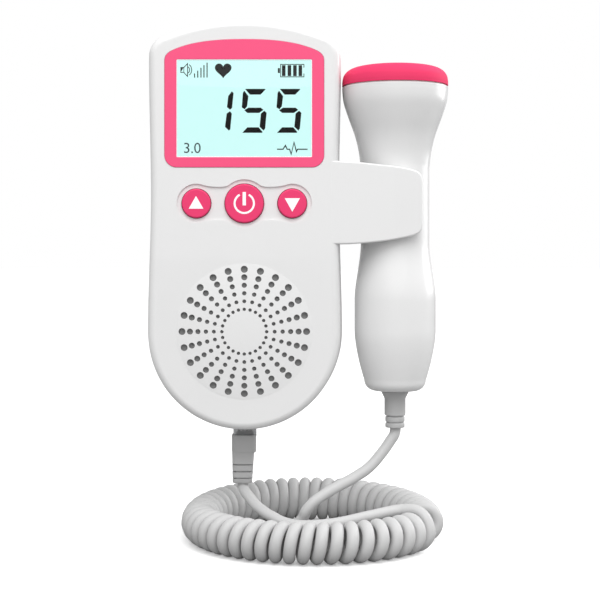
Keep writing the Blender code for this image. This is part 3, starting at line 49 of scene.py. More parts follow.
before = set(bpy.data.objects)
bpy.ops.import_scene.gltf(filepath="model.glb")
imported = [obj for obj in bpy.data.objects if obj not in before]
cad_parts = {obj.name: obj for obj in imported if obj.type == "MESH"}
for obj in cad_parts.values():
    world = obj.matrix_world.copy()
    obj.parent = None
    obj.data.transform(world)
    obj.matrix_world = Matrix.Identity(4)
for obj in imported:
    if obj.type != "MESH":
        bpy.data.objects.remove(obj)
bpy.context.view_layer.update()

# Heights below are measured from the middle of the monitor, as they are in the frame's own source
BACK_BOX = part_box("rear_shell")
MIDDLE_Z = (BACK_BOX[0][2] + BACK_BOX[1][2]) / 2
MONITOR_HEIGHT = BACK_BOX[1][2] - BACK_BOX[0][2]
MM = 0.001
OVERRUN = 3 * MM
CUT_DEPTH = 4 * MM
CLOSE = 1e-6
ANGLE_SLACK = 1e-4
SPIN_MERGE = 1e-7
TIDY_MERGE = 2e-7


def millimetres(*points):
    """Points that are typed in millimetres, in metres."""
    return tuple(tuple(value * MM for value in point) for point in points)


# Plastic; a scale is how many noise cells go in a metre
DRIFT_SCALE = 40.0
SHEEN_SCALE = 260.0
SHEEN_CHANGE = 0.12
TEXTURE_STRENGTH = 0.35

# Case
BASE_RADIUS = 32.17 * MM
WAIST_HALF_WIDTH = 31.18 * MM
WAIST_Z = 10.0 * MM
SHOULDER_HALF_WIDTH = 31.84 * MM
SHOULDER_RADIUS = 8.0 * MM
BASE_STEPS = 48
SIDE_STEPS = 16
SHOULDER_STEPS = 18
TOP_ARCH_RADIUS = 70.0 * MM
FRONT_Y = -32.0 * MM
SEAM_Y = -15.0 * MM
CASE_WALL = 2.0 * MM
CASE_SEGMENTS = 9
CASE_SMOOTH = 32.0
BREAK_Z = -10.8 * MM
FRONT_FALL = 1.5 * MM
SEAM_GAP = 0.3 * MM
TOP_Z = MONITOR_HEIGHT / 2
BASE_CENTRE_Z = BASE_RADIUS - TOP_Z

# Screen and keys
BEZEL_HALF = 25.45 * MM
BEZEL_LOW = 18.4 * MM
WINDOW_HALF = 21.6 * MM
WINDOW_LOW = 21.65 * MM
WINDOW_HIGH = 52.8 * MM
KEY_Z = 6.9 * MM
SIDE_KEY_X = 15.3 * MM

# Speaker grille
GRILLE_Z = -34.0 * MM
HOLE_DIAMETERS = (1.1 * MM, 1.25 * MM, 1.4 * MM, 1.65 * MM, 1.95 * MM, 2.25 * MM)
FIRST_RING = 7.14 * MM
RING_STEP = 2.55 * MM
DISC_RADIUS = 21.7 * MM
DISC_RISE = 1.1 * MM
DISC_RINGS = 14

# Probe
PROBE_X = 49.5 * MM
PROBE_Y = -17.4 * MM
HEAD_RADIUS = 17.4 * MM
CAP_SEAM = 46.0 * MM
NECK_RADIUS = 11.25 * MM
NECK_HIGH = 19.0 * MM
NECK_LOW = -5.6 * MM
GRIP_HIGH = -24.5 * MM
GRIP_LOW = -34.4 * MM
TAIL_RADIUS = 10.15 * MM
TAIL_Z = -50.7 * MM
HANDLE_END = -54.2 * MM
HEAD_BEVEL = 1.0 * MM
CAP_GAP = 0.03 * MM
RELIEF_END = -66.4 * MM
HEAD_FLARE_SHARES = (
    (0.0, 0.0), (0.2, 0.11), (0.4, 0.32), (0.6, 0.64),
    (0.78, 0.9), (0.9, 0.98), (1.0, 1.0),
)
TAPER_POWER = 1.6
HANDLE_STEPS = 18
CAP_LIP_SHARE = 1.15
CAP_BORE_SHARE = 2.2
CAP_ROOF_SHARES = (1.5, 2.5)

# Cord
CORD_DIAMETER = 3.6 * MM
CURL_SWELL = 2.0 * MM
FIRST_CURL_SWELL = 2.2 * MM
FIRST_CURL = 0.6  # how many curls the first swell takes
RING_FLATNESS = 0.08
RING_CENTRE = (22.3 * MM, -15.0 * MM)
FLOOR_Z = -104.2 * MM
RING_START = math.radians(-25.8)
RING_SWEEP = math.radians(-339.2)
FIRST_SPREAD = 0.022
SPREAD_SHARE = 0.17
SPREAD_POWER = 1.6
CURL_POINTS = 26  # in each curl
LEAD_POINTS = 10
BLEND_POINTS = 12  # over which the cord thickens into its curls
END_SPAN = 0.4  # spans count in cord diameters
PROBE_LEAD_SPANS = (2.0, 0.8)
MONITOR_LEAD_ROUTE = millimetres(
    (-0.7, -15.0, -85.1), (-0.6, -15.2, -86.1), (0.0, -16.8, -87.6),
    (1.7, -20.0, -89.3), (3.8, -24.5, -90.9), (7.0, -30.0, -92.3),
    (9.5, -33.0, -93.1), (11.8, -35.3, -93.9), (15.4, -37.4, -94.5),
    (18.9, -38.0, -94.7), (22.9, -37.8, -94.6), (27.7, -36.6, -94.4),
    (31.9, -35.0, -94.0), (40.1, -31.5, -92.9), (49.1, -28.2, -91.7),
)
PROBE_LEAD_ROUTE = millimetres(
    (49.6, -17.4, -66.5), (49.6, -17.4, -67.5), (49.1, -17.6, -69.1),
    (48.0, -17.8, -70.7), (46.3, -18.3, -73.1), (44.3, -19.0, -75.5),
    (42.3, -19.8, -77.7), (39.8, -20.8, -79.8), (36.7, -22.0, -81.6),
    (33.8, -23.5, -83.0), (29.6, -25.5, -84.8), (25.9, -27.0, -86.7),
    (22.3, -28.0, -89.1), (19.9, -28.0, -91.9), (18.6, -27.0, -94.6),
    (14.6, -25.2, -99.3), (11.2, -21.5, -101.6), (10.2, -15.0, -102.4),
    (13.0, -8.5, -102.4), (19.5, -5.6, -102.4), (28.0, -6.6, -102.4),
    (38.0, -10.6, -102.4), (46.0, -14.8, -102.4),
)

# Front face, bezel, keys' recess and grille
FIT = 0.3 * MM
FRONT_DRAFT = 1.5 * MM
BEZEL_TOP = millimetres(
    (25.45, 52.5), (25.25, 53.55), (24.75, 54.4), (23.7, 55.3),
    (21.7, 56.25), (19.55, 57.0), (17.1, 57.7), (13.8, 58.35),
    (10.5, 58.78), (7.2, 59.05), (3.8, 59.2), (0.0, 59.25),
)
BEZEL_LOW_RADIUS = 3.9 * MM
BEZEL_DEPTH = 1.2 * MM
BEZEL_THICKNESS = 1.1 * MM
BEZEL_EDGE = 0.16 * MM
BEZEL_STAND = 0.2 * MM
BEZEL_GAP = 0.08 * MM
RIM_WIDTH = 0.2 * MM
RIM_STAND = 0.06 * MM
RIM_THICKNESS = 0.5 * MM
WINDOW_CORNER = 0.3 * MM
PANE_CORNER = 0.6 * MM
LENS_EDGE = 0.12 * MM
LCD_EDGE = 0.1 * MM
LCD_Y = -31.06 * MM
INK_RISE = 0.04 * MM
INK_SINK = 0.02 * MM
SIDE_RECESS_RADIUS = 6.28 * MM
POWER_RECESS_RADIUS = 7.68 * MM
RECESS_LEAN = math.radians(50.0)
CHEEK_START = math.radians(112.0)
SADDLE_REACH = 1.6 * MM
SADDLE_DROP = 0.5 * MM
SADDLE_STEPS = 13
RECESS_DEPTH = 0.6 * MM
KEY_GAP = 0.22 * MM
KEY_EDGE = 0.45 * MM
KEY_FLANGE = 0.8 * MM
KEY_STEM = 1.4 * MM
KEY_STEM_SHARE = 0.45
DISC_STEP = 0.05 * MM
GRILLE_WALL = 0.9 * MM

# Marks on the display and the keys; u and v are picture places, in pixels
ONE_LEFT = 221.6
FIVE_LEFTS = (242.0, 276.7)
FIGURE_TOP = 89.0
ONE_BARS = (
    ((10.2, 2.5), (12.0, 4.2), (10.5, 19.0), (8.4, 20.8), (5.4, 18.2), (6.6, 7.3)),
    ((8.4, 22.3), (10.2, 24.6), (8.7, 40.4), (7.3, 41.7), (3.4, 37.9), (5.1, 24.7)),
)
FIVE_BARS = (
    ((3.2, 0.2), (4.0, 0.0), (22.8, 0.0), (23.6, 0.5), (18.5, 5.7), (7.9, 5.7)),
    ((2.3, 1.8), (6.4, 7.3), (5.1, 17.5), (2.8, 20.3), (-0.2, 18.6), (0.9, 4.0)),
    ((2.3, 21.3), (6.4, 18.8), (18.9, 18.8), (21.5, 21.0), (17.2, 24.0), (5.4, 24.0)),
    ((22.3, 21.8), (24.6, 23.9), (23.2, 39.4), (21.7, 41.7), (17.6, 37.9), (18.9, 24.7)),
    ((0.3, 43.9), (5.4, 38.4), (16.6, 38.4), (20.7, 43.2), (19.9, 43.9)),
)
HEART_CENTRE = (223.2, 69.9)
HEART_SIZE = (8.32, 0.525)
HEART_POINTS = 72
SIGNAL_FOOT = 77.7
SIGNAL_HALF = 0.55
SIGNAL_BARS = ((194.6, 73.6), (197.8, 70.8), (201.0, 67.8), (204.0, 65.2), (207.1, 62.8))
CHARGE_LEFTS = (281.9, 287.6, 293.1, 298.5)
CHARGE_WIDTH = 3.6
CHARGE_TOP = 65.3
CHARGE_FOOT = 76.2
BATTERY_TIP = ((277.8, 73.2), (279.9, 73.2), (279.9, 68.2), (277.8, 68.2))
BATTERY_FRAME = ((303.9, 67.8), (303.9, 64.5), (280.6, 64.5), (280.6, 77.0), (303.9, 77.0), (303.9, 73.6))
HORN = (
    (180.9, 67.6), (183.9, 67.6), (187.6, 63.7), (187.6, 76.6),
    (183.9, 72.5), (180.9, 72.5), (180.9, 67.6), (183.9, 67.6),
)
HORN_BACK = ((183.9, 67.6), (183.9, 72.5))
WAVE_CENTRE = (185.2, 70.0)
WAVES = ((4.4, 46.0), (6.6, 52.0))
PULSE = (
    (277.0, 149.3), (283.0, 149.3), (285.4, 145.6), (287.2, 149.3),
    (289.6, 149.3), (291.2, 154.2), (294.0, 142.4), (296.4, 151.6),
    (297.6, 149.3), (300.0, 149.3), (307.5, 149.3),
)
FINE_LINE = 0.2 * MM
SIGN_LINE = 0.26 * MM
PULSE_LINE = 0.36 * MM
NUMBER_PLACE = (183.2, 153.0)
NUMBER_SIZE = 4.7 * MM
NUMBER_RISE = 0.03 * MM
UP_MARK = ((196.0, 195.9), (203.4, 208.7), (188.7, 208.7))
DOWN_MARK = ((292.3, 211.7), (284.7, 198.2), (299.9, 198.2))
POWER_GAP = math.radians(28.0)
POWER_RING = 3.08 * MM
POWER_LINE = 0.63 * MM
POWER_BAR = millimetres((-0.53, 6.25), (0.53, 6.25), (0.53, 10.5), (-0.53, 10.5))

# Side clip
CLIP_GAP = 23.6 * MM
CLIP_THICKNESS = 2.75 * MM
CLIP_TIP_X = 57.15 * MM
CLIP_EDGE = 0.55 * MM
CLIP_BEND_X = 48.0 * MM
CLIP_BEND = 1.5 * MM
CLIP_CREASE = 1.2 * MM
CLIP_OUTLINE = millimetres(
    (26.0, -6.05), (31.0, -6.1), (35.5, -6.0), (39.5, -5.7), (43.0, -5.35), (46.0, -4.95),
    (49.0, -4.45), (52.0, -3.85), (54.2, -3.3), (55.8, -2.6), (56.65, -1.8), (57.05, -0.7),
    (57.15, 0.8), (57.15, 13.6), (57.0, 15.0), (56.5, 16.3), (55.5, 17.2), (53.8, 17.85),
    (51.0, 18.4), (47.5, 18.95), (43.0, 19.4), (37.0, 20.1), (30.2, 20.5), (26.0, 20.6),
)

# Back and ends
CASE_SCREWS = millimetres((-22, 57.5), (22, 57.5), (-27, -28), (27, -28))
SCREW_SEAT_Y = -8.0 * MM
POST_RADIUS = 3.4 * MM
WELL_RADIUS = 2.4 * MM
BORE_RADIUS = 1.3 * MM
SCREW_HEAD = 2.0 * MM
SCREW_HEAD_HEIGHT = 1.4 * MM
SCREW_HEAD_ROUND = 0.6 * MM
SCREW_SHAFT = 1.0 * MM
SCREW_REACH = 7.0 * MM
SCREW_POINT = 0.5 * MM
SLOT_HALF_WIDTH = 0.3 * MM
SLOT_HALF_LENGTH = 1.25 * MM
SLOT_DEPTH = 0.7 * MM
BAY_HALF = 15.05 * MM
BAY_LOW = -50.6 * MM
BAY_HIGH = 5.0 * MM
BAY_FLOOR_Y = -17.0 * MM
COVER_GRIP_Z = 4.0 * MM
COVER_GRIP_HALF = 7.0 * MM
GROOVE_COUNT = 5
GROOVE_PITCH = 2.4 * MM
GROOVE_HALF = GROOVE_PITCH / 5
GROOVE_CORNER = GROOVE_PITCH / 5.2
GROOVE_DEPTH = 0.6 * MM
PHONES_RADIUS = 2.8 * MM
PHONES_CUT = 8.0 * MM
PHONES_Y = -16.7 * MM
PHONES_Z = 12.5 * MM
CORD_HOLE_HALF_WIDTH = 4.1 * MM
CORD_HOLE_HALF_DEPTH = 3.7 * MM
CORD_HOLE_TOP = -64.0 * MM

# Cap, strain reliefs and plug
CAP_DOME = millimetres(
    (0.0, 52.95), (6.0, 52.8), (10.8, 52.35), (13.9, 51.75),
    (15.8, 50.75), (16.95, 49.3), (17.35, 47.6), (17.4, 46.2),
)
RELIEF_COLLAR = 3.3 * MM
RELIEF_ROUND = 0.5 * MM
RELIEF_CHAMFER = 0.2 * MM
RELIEF_RING_ROUND = 0.25 * MM
RELIEF_TOP = -54.25 * MM
RELIEF_FLARE = 4.5 * MM
RELIEF_BODY = 3.48 * MM
RELIEF_BODY_TOP = -56.8 * MM
RELIEF_BODY_END = -62.4 * MM
RELIEF_NECK = 2.8 * MM
RELIEF_RINGS = (
    (-64.45 * MM, -62.85 * MM, 3.2 * MM),
    (RELIEF_END, -64.9 * MM, 3.2 * MM),
)
PLUG_DEPTH = 4.8 * MM
PLUG_EDGE = 0.3 * MM
LATCH_HALF = 1.6 * MM
LATCH_SINK = 0.01 * MM
PLUG_WIRE_COUNT = 4
PLUG_WIRE_PITCH = 1.25 * MM
PLUG_WIRE_RADIUS = PLUG_WIRE_PITCH * 0.36
PLUG_WIRE_LENGTH = 9.0 * MM
WIRE_BAR_HALF = 1.2 * MM
WIRE_BAR_LOW = 0.5 * MM
WIRE_BAR_HIGH = 1.5 * MM
PLUG_TAIL = -69.05 * MM
BOOT_WIDTH = 8.05 * MM
BOOT_DEPTH = 6.8 * MM
BOOT_CORNER = 1.6 * MM
BOOT_LIP = 0.25 * MM
BOOT_TOP_SCALE = 0.97
BOOT_STEP_SCALE = 0.965
BOOT_END_TUCK = 0.06
BOOT_STEP = -74.6 * MM
BOOT_END = -84.9 * MM
BOOT_NECK = 0.915
BOOT_TAIL = 0.8
BOOT_GROOVES = (-78.75 * MM, -81.05 * MM, -83.25 * MM)
BOOT_LEAN = 0.55 * MM
BOOT_GROOVE = (
    (0.26, 0.0), (0.22, 0.03), (0.2, 0.22), (-0.2, 0.22),
    (-0.22, 0.03), (-0.26, 0.0),
)
BOOT_X = -0.3 * MM

# Stage
CAMERA_X = 6.0 * MM
CAMERA_Y = -453.8 * MM
EYE_Z = -7.96 * MM
LENS = 79.38
SENSOR = 36.0
PICTURE = 600
SIDE_SHIFT = 36.9 / PICTURE
HORIZON_SHIFT = -50 / PICTURE
FOCAL_PIXELS = LENS / SENSOR * PICTURE
CENTRE_U = PICTURE / 2 - PICTURE * SIDE_SHIFT
HORIZON_V = 250
FLOOR_LOW = (0.96, 0.96, 0.96)
FLOOR_HIGH = (0.97, 0.97, 0.97)
FLOOR_BOUNCE = (0.3, 0.3, 0.3)
FLOOR_GLOW = 0.3
SUN_SPREAD = 90.0
SUN_TURN = (38.0, 0.0, 0.0)
LAMPS = (
    ("key", (0.06, -0.55, 0.6), (0.02, -0.02, 0.0), (0.6, 0.6)),
    ("side", (0.6, 0.22, 0.36), (0.05, -0.0174, 0.3), (0.42, 0.8)),
)
WHITE = (1.0, 1.0, 1.0)
INSIDE = {
    "black_plastic": (
        "lcd_backlight",
        "switch_up",
        "switch_power",
        "switch_down",
        "speaker_frame",
        "cord_socket",
        "earphone_socket",
        "crystal_holder",
    ),
    "keypad_silicone": ("keypad_membrane",),
    "cone_paper": ("speaker_cone",),
    "bright_steel": (
        "speaker_magnet",
        "plate_contact_left",
        "plate_contact_right",
        "spring_contact_left",
        "spring_contact_right",
        "board_screw_1",
        "board_screw_2",
    ),
    "board_green": ("main_board", "probe_board"),
    "cell_wrap": ("cell_left", "cell_right"),
    "piezo_ceramic": ("crystal_transmit", "crystal_receive"),
}


class Wire:
    """A shader socket that adds its Math nodes when it is used in an expression."""

    def __init__(self, tree, socket):
        self.tree, self.socket = tree, socket

    def maths(self, operation, *values):
        node = self.tree.nodes.new("ShaderNodeMath")
        node.operation = operation
        for place, value in zip(node.inputs, values):
            plug_in(self.tree, value, place)
        return Wire(self.tree, node.outputs[0])

    def __add__(self, other):
        return self.maths("ADD", self, other)

    __radd__ = __add__

    def __mul__(self, other):
        return self.maths("MULTIPLY", self, other)

    __rmul__ = __mul__

    def __sub__(self, other):
        return self.maths("SUBTRACT", self, other)

    def clamped(self):
        return self.maths("MINIMUM", self.maths("MAXIMUM", self, 0.0), 1.0)


def plug_in(tree, value, place):
    """Links a wire to a socket, or types a value in it; a colour gets its alpha."""
    if isinstance(value, tuple) and len(value) == 3 and place.type == "RGBA":
        value = (*value, 1.0)
    if isinstance(value, Wire):
        tree.links.new(value.socket, place)
    else:
        place.default_value = value


class Finish:
    """One procedural material with a Principled shader."""

    def __init__(self, name, **constants):
        self.material = bpy.data.materials.new(name)
        self.material.use_nodes = True
        self.tree = self.material.node_tree
        self.shader = self.tree.nodes["Principled BSDF"]
        for place, value in constants.items():
            self.put(place.replace("_", " ").title().replace("Ior", "IOR"), value)

    def put(self, place, value):
        plug_in(self.tree, value, self.shader.inputs[place])

    def node(self, kind, output=0, **values):
        made = self.tree.nodes.new(kind)
        for place, value in values.items():
            plug_in(self.tree, value, made.inputs[place])
        return Wire(self.tree, made.outputs[output])

    def place(self):
        return self.node("ShaderNodeTexCoord", output="Object")

    def noise(self, scale, detail=2.0, roughness=0.5):
        values = {"Scale": scale, "Detail": detail, "Roughness": roughness}
        return self.node("ShaderNodeTexNoise", Vector=self.place(), **values)

    def mixed(self, factor, low, high):
        mix = self.tree.nodes.new("ShaderNodeMix")
        mix.data_type = "RGBA"
        plug_in(self.tree, factor, mix.inputs["Factor"])
        for place, tone in (("A", low), ("B", high)):
            found = [item for item in mix.inputs if item.name == place and item.type == "RGBA"][0]
            plug_in(self.tree, tone, found)
        return Wire(self.tree, [item for item in mix.outputs if item.type == "RGBA"][0])

    def bump(self, height, distance, strength):
        bump = self.node("ShaderNodeBump", Height=height, Distance=distance, Strength=strength)
        self.put("Normal", bump)


def moulded(name, tone, roughness, scale=2600.0, depth=0.012 * MM, change=0.03, specular=0.5):
    """Moulded plastic: a fine spark texture, a slightly uneven sheen and a faint drift of tone."""
    finish = Finish(name, specular_ior_level=specular)
    drift = finish.noise(DRIFT_SCALE, detail=3.0)
    low = tuple(value * (1 - change) for value in tone)
    high = tuple(min(1.0, value * (1 + change)) for value in tone)
    finish.put("Base Color", finish.mixed(drift, low, high))
    sheen = finish.noise(SHEEN_SCALE, detail=4.0) - 0.5
    finish.put("Roughness", (roughness + sheen * SHEEN_CHANGE).clamped())
    finish.bump(finish.noise(scale, detail=3.0, roughness=0.6), depth, TEXTURE_STRENGTH)
    return finish.material


def deselect():
    if bpy.context.object and bpy.context.object.mode != "OBJECT":
        bpy.ops.object.mode_set(mode="OBJECT")
    bpy.ops.object.select_all(action="DESELECT")


def pick(piece):
    deselect()
    piece.select_set(True)
    bpy.context.view_layer.objects.active = piece


def settle():
    """Applies the active object's place, turn and scale."""
    bpy.ops.object.transform_apply(location=True, rotation=True, scale=True)


def open_mesh(piece):
    """Goes into edit mode with everything selected."""
    pick(piece)
    bpy.ops.object.mode_set(mode="EDIT")
    bpy.ops.mesh.select_all(action="SELECT")


def close_mesh(outwards=False):
    """Leaves edit mode, after turning the normals outwards if asked."""
    if outwards:
        bpy.ops.mesh.select_all(action="SELECT")
        bpy.ops.mesh.normals_make_consistent(inside=False)
    bpy.ops.object.mode_set(mode="OBJECT")


def shape_points(piece, points):
    for vert, point in zip(piece.data.vertices, points):
        vert.co = point


def traced(name, points):
    """A filled outline: a circle primitive whose corners are set on the outline's points."""
    deselect()
    bpy.ops.mesh.primitive_circle_add(
        vertices=len(points), radius=MM, fill_type="NGON", location=(0, 0, 0)
    )
    piece = bpy.context.object
    piece.name = name
    shape_points(piece, points)
    return piece


def plate(name, outline, near_y, far_y, edge=0.0, segments=4):
    """An (x, z) outline raised from near_y to far_y, with its near edge rounded."""
    piece = traced(name, [(x, near_y, z) for x, z in outline])
    open_mesh(piece)
    bpy.ops.mesh.extrude_region_move(TRANSFORM_OT_translate={"value": (0, far_y - near_y, 0)})
    close_mesh(outwards=True)
    if edge:
        round_edges(piece, near_y, edge, segments)
    return piece


def round_edges(piece, depth, radius, segments):
    """Bevels the rim that lies at a depth along Y."""
    pick(piece)
    bpy.ops.object.mode_set(mode="EDIT")
    bpy.ops.mesh.select_mode(type="EDGE")
    bpy.ops.mesh.select_all(action="DESELECT")
    bpy.ops.object.mode_set(mode="OBJECT")
    for edge in piece.data.edges:
        ends = [piece.data.vertices[i].co.y for i in edge.vertices]
        edge.select = all(abs(y - depth) < CLOSE for y in ends)
    bpy.ops.object.mode_set(mode="EDIT")
    bpy.ops.mesh.bevel(offset=radius, offset_pct=0, segments=segments, profile=0.5, affect="EDGES")
    bpy.ops.object.mode_set(mode="OBJECT")


def spun(name, profile, centre, steps=96, axis=(0, 0, 1), angle=math.tau):
    """Turns (radius, height) points about an axis through centre."""
    deselect()
    bpy.ops.mesh.primitive_circle_add(vertices=len(profile), radius=MM, location=(0, 0, 0))
    piece = bpy.context.object
    piece.name = name
    upright = axis[2] == 1
    points = [(r, 0, h) if upright else (r, h, 0) for r, h in profile]
    shape_points(piece, [Vector(point) + Vector(centre) for point in points])
    open_mesh(piece)
    bpy.ops.mesh.spin(steps=steps, angle=angle, center=centre, axis=axis)
    bpy.ops.mesh.select_all(action="SELECT")
    bpy.ops.mesh.remove_doubles(threshold=SPIN_MERGE)
    bpy.ops.mesh.dissolve_degenerate(threshold=SPIN_MERGE)
    bpy.ops.mesh.select_all(action="SELECT")
    bpy.ops.mesh.delete_loose()
    close_mesh(outwards=True)
    return piece


def boxed(name, low, high):
    """A plain box between two corners."""
    deselect()
    centre = [(a + b) / 2 for a, b in zip(low, high)]
    bpy.ops.mesh.primitive_cube_add(size=1.0, location=centre)
    piece = bpy.context.object
    piece.name = name
    piece.scale = [b - a for a, b in zip(low, high)]
    pick(piece)
    settle()
    return piece


def column(place, radius, depth, sides, turn=(0, 0, 0)):
    """A round bar or cutter, along Z unless it is turned."""
    deselect()
    bpy.ops.mesh.primitive_cylinder_add(
        vertices=sides, radius=radius, depth=depth, location=place, rotation=turn
    )
    settle()
    return bpy.context.object


def combine(piece, tool, operation="DIFFERENCE"):
    """Applies one Boolean and removes its tool."""
    pick(piece)
    modifier = piece.modifiers.new("cut", "BOOLEAN")
    modifier.operation = operation
    modifier.solver = "EXACT"
    modifier.object = tool
    bpy.ops.object.modifier_apply(modifier=modifier.name)
    bpy.data.objects.remove(tool, do_unlink=True)
    return piece


def joined(name, pieces):
    """Several shapes as one object."""
    deselect()
    for piece in pieces:
        piece.select_set(True)
    bpy.context.view_layer.objects.active = pieces[0]
    bpy.ops.object.join()
    pieces[0].name = name
    return pieces[0]


def tidy(piece, degrees=30.0):
    """Merges doubled corners and shades the piece smooth up to an angle."""
    open_mesh(piece)
    bpy.ops.mesh.remove_doubles(threshold=TIDY_MERGE)
    bpy.ops.mesh.dissolve_degenerate(threshold=TIDY_MERGE)
    close_mesh()
    bpy.ops.object.shade_smooth_by_angle(angle=math.radians(degrees))
    return piece


def arc(centre, radius, start, end, steps):
    """Points along an arc, both ends included."""
    angles = [start + (end - start) * i / steps for i in range(steps + 1)]
    return [(centre[0] + radius * math.cos(a), centre[1] + radius * math.sin(a)) for a in angles]


def ease(share):
    """Turns an even share into one that starts and ends softly."""
    return share * share * (3 - 2 * share)


def blend_values(start, end, share):
    return start + (end - start) * share


def round_box(x0, x1, z0, z1, radius, steps=10):
    """A rectangle's outline with round corners."""
    quarter = math.pi / 2
    points = arc((x1 - radius, z0 + radius), radius, -quarter, 0.0, steps)
    points += arc((x1 - radius, z1 - radius), radius, 0.0, quarter, steps)
    points += arc((x0 + radius, z1 - radius), radius, quarter, math.pi, steps)
    return points + arc((x0 + radius, z0 + radius), radius, math.pi, 3 * quarter, steps)


def mirrored(right):
    """The right half of an outline with its mirror image."""
    return right + [(-x, z) for x, z in reversed(right[1:-1])]


def shoulder_centre():
    """Where the arc of the case's shoulder has its centre."""
    x = SHOULDER_HALF_WIDTH - SHOULDER_RADIUS
    reach = TOP_ARCH_RADIUS - SHOULDER_RADIUS
    return x, TOP_Z - TOP_ARCH_RADIUS + math.sqrt(reach**2 - x**2)


def side_half_width(z):
    """Half the case's width at a height between the base and the shoulders."""
    if z < WAIST_Z:
        share = (WAIST_Z - z) / (WAIST_Z - BASE_CENTRE_Z)
        return blend_values(WAIST_HALF_WIDTH, BASE_RADIUS, ease(share))
    share = (z - WAIST_Z) / (shoulder_centre()[1] - WAIST_Z)
    return blend_values(WAIST_HALF_WIDTH, SHOULDER_HALF_WIDTH, ease(share))


def case_outline(inset=0.0):
    """The case from the front: a round base, a slight waist, round shoulders and an arched top."""
    centre = shoulder_centre()
    arch_z = TOP_Z - TOP_ARCH_RADIUS
    joint = math.atan2(centre[1] - arch_z, centre[0])
    right = arc((0.0, BASE_CENTRE_Z), BASE_RADIUS - inset, -math.pi / 2, 0.0, BASE_STEPS)
    for low, high in ((BASE_CENTRE_Z, WAIST_Z), (WAIST_Z, centre[1])):
        for i in range(1, SIDE_STEPS + 1):
            z = blend_values(low, high, i / SIDE_STEPS)
            right.append((side_half_width(z) - inset, z))
    right += arc(centre, SHOULDER_RADIUS - inset, 0.0, joint, SHOULDER_STEPS)[1:]
    right += arc((0.0, arch_z), TOP_ARCH_RADIUS - inset, joint, math.pi / 2, SIDE_STEPS)[1:]
    return mirrored(right)


def bezel_outline(inset=0.0):
    """The bezel: round lower corners and an arched top."""
    half, low, radius = BEZEL_HALF - inset, BEZEL_LOW + inset, BEZEL_LOW_RADIUS - inset
    right = [(0.0, low)] + arc((half - radius, low + radius), radius, -math.pi / 2, 0.0, 12)
    across, up = 1 - inset / BEZEL_HALF, inset
    right += [(point.x * across, point.y - up) for point in smoothed([Vector(p) for p in BEZEL_TOP], 4)]
    return mirrored(right)


def recess_outline():
    """The shallow cloud round the three keys: an arc at each key, joined by soft saddles."""
    crown = arc((0.0, KEY_Z), POWER_RECESS_RADIUS, math.pi / 2, RECESS_LEAN, 12)
    cheek = arc((SIDE_KEY_X, KEY_Z), SIDE_RECESS_RADIUS, CHEEK_START, 0.0, 28)
    start, end = Vector(crown[-1]), Vector(cheek[0])
    near = start + Vector((math.sin(RECESS_LEAN), -math.cos(RECESS_LEAN))) * SADDLE_REACH
    far = end - Vector((SADDLE_REACH, SADDLE_DROP))
    for i in range(1, SADDLE_STEPS):
        t = i / SADDLE_STEPS
        base = (1 - t) ** 3 * start + 3 * (1 - t) ** 2 * t * near
        crown.append(tuple(base + 3 * (1 - t) * t**2 * far + t**3 * end))
    upper = crown + cheek
    return mirrored(upper + [(x, 2 * KEY_Z - z) for x, z in reversed(upper[:-1])])


def fall(z):
    """How far the lower front face lies back at a height."""
    return FRONT_FALL * max(0.0, (BREAK_Z - z) / (BREAK_Z + TOP_Z))


def drafted(piece):
    """Leans the wall of the case's front half inwards, more and more towards the face."""
    centre, arch_z = shoulder_centre(), TOP_Z - TOP_ARCH_RADIUS
    joint = math.atan2(centre[1] - arch_z, centre[0])
    for vert in piece.data.vertices:
        x, z = vert.co.x, vert.co.z
        target = (0.0, min(max(z, BASE_CENTRE_Z), centre[1]))
        if z > centre[1]:
            on_arch = math.atan2(z - arch_z, abs(x)) > joint - ANGLE_SLACK
            target = (0.0, arch_z) if on_arch else (math.copysign(centre[0], x), centre[1])
        way = Vector((target[0] - x, target[1] - z)).normalized()
        lean = FRONT_DRAFT * max(0.0, (SEAM_Y - vert.co.y) / (SEAM_Y - FRONT_Y))
        vert.co += Vector((way.x, 0.0, way.y)) * lean
    return piece


def fallen(piece):
    """Lays the lower face back below the break."""
    for vert in piece.data.vertices:
        if vert.co.y < SEAM_Y - MM:
            vert.co.y += fall(vert.co.z)
    return piece


def domed(name, radius, near, far):
    """A disc over the speaker, bulged at its near side; its depths count from the front face."""
    profile = []
    for i in range(DISC_RINGS + 1):
        reach = radius * i / DISC_RINGS
        profile.append((reach, FRONT_Y + near - DISC_RISE * (1 - (reach / DISC_RADIUS) ** 2)))
    profile += [(radius, FRONT_Y + far), (0.0, FRONT_Y + far)]
    return spun(name, profile, (0, 0, GRILLE_Z), steps=120, axis=(0, 1, 0))


def front_column(x, z, radius, near_y, far_y, sides=64):
    """A round cutter along Y."""
    place = (x, (near_y + far_y) / 2, z)
    return column(place, radius, far_y - near_y, sides, turn=(math.pi / 2, 0, 0))


def sliced(piece, places, normal):
    """Adds edge loops where planes cross the piece."""
    for place in places:
        open_mesh(piece)
        bpy.ops.mesh.bisect(plane_co=place, plane_no=normal)
        close_mesh()
    return piece


def softened(piece, width, segments=3, degrees=40.0):
    """Rounds every edge that is sharper than an angle."""
    pick(piece)
    bevel = piece.modifiers.new("soft", "BEVEL")
    bevel.width = width
    bevel.segments = segments
    bevel.limit_method = "ANGLE"
    bevel.angle_limit = math.radians(degrees)
    bevel.use_clamp_overlap = True
    bpy.ops.object.modifier_apply(modifier=bevel.name)
    return piece


def weighted(piece):
    """Leaves large flat faces flat where they meet small round ones."""
    pick(piece)
    normals = piece.modifiers.new("normals", "WEIGHTED_NORMAL")
    normals.keep_sharp = True
    normals.weight = 90
    bpy.ops.object.modifier_apply(modifier=normals.name)
    return piece


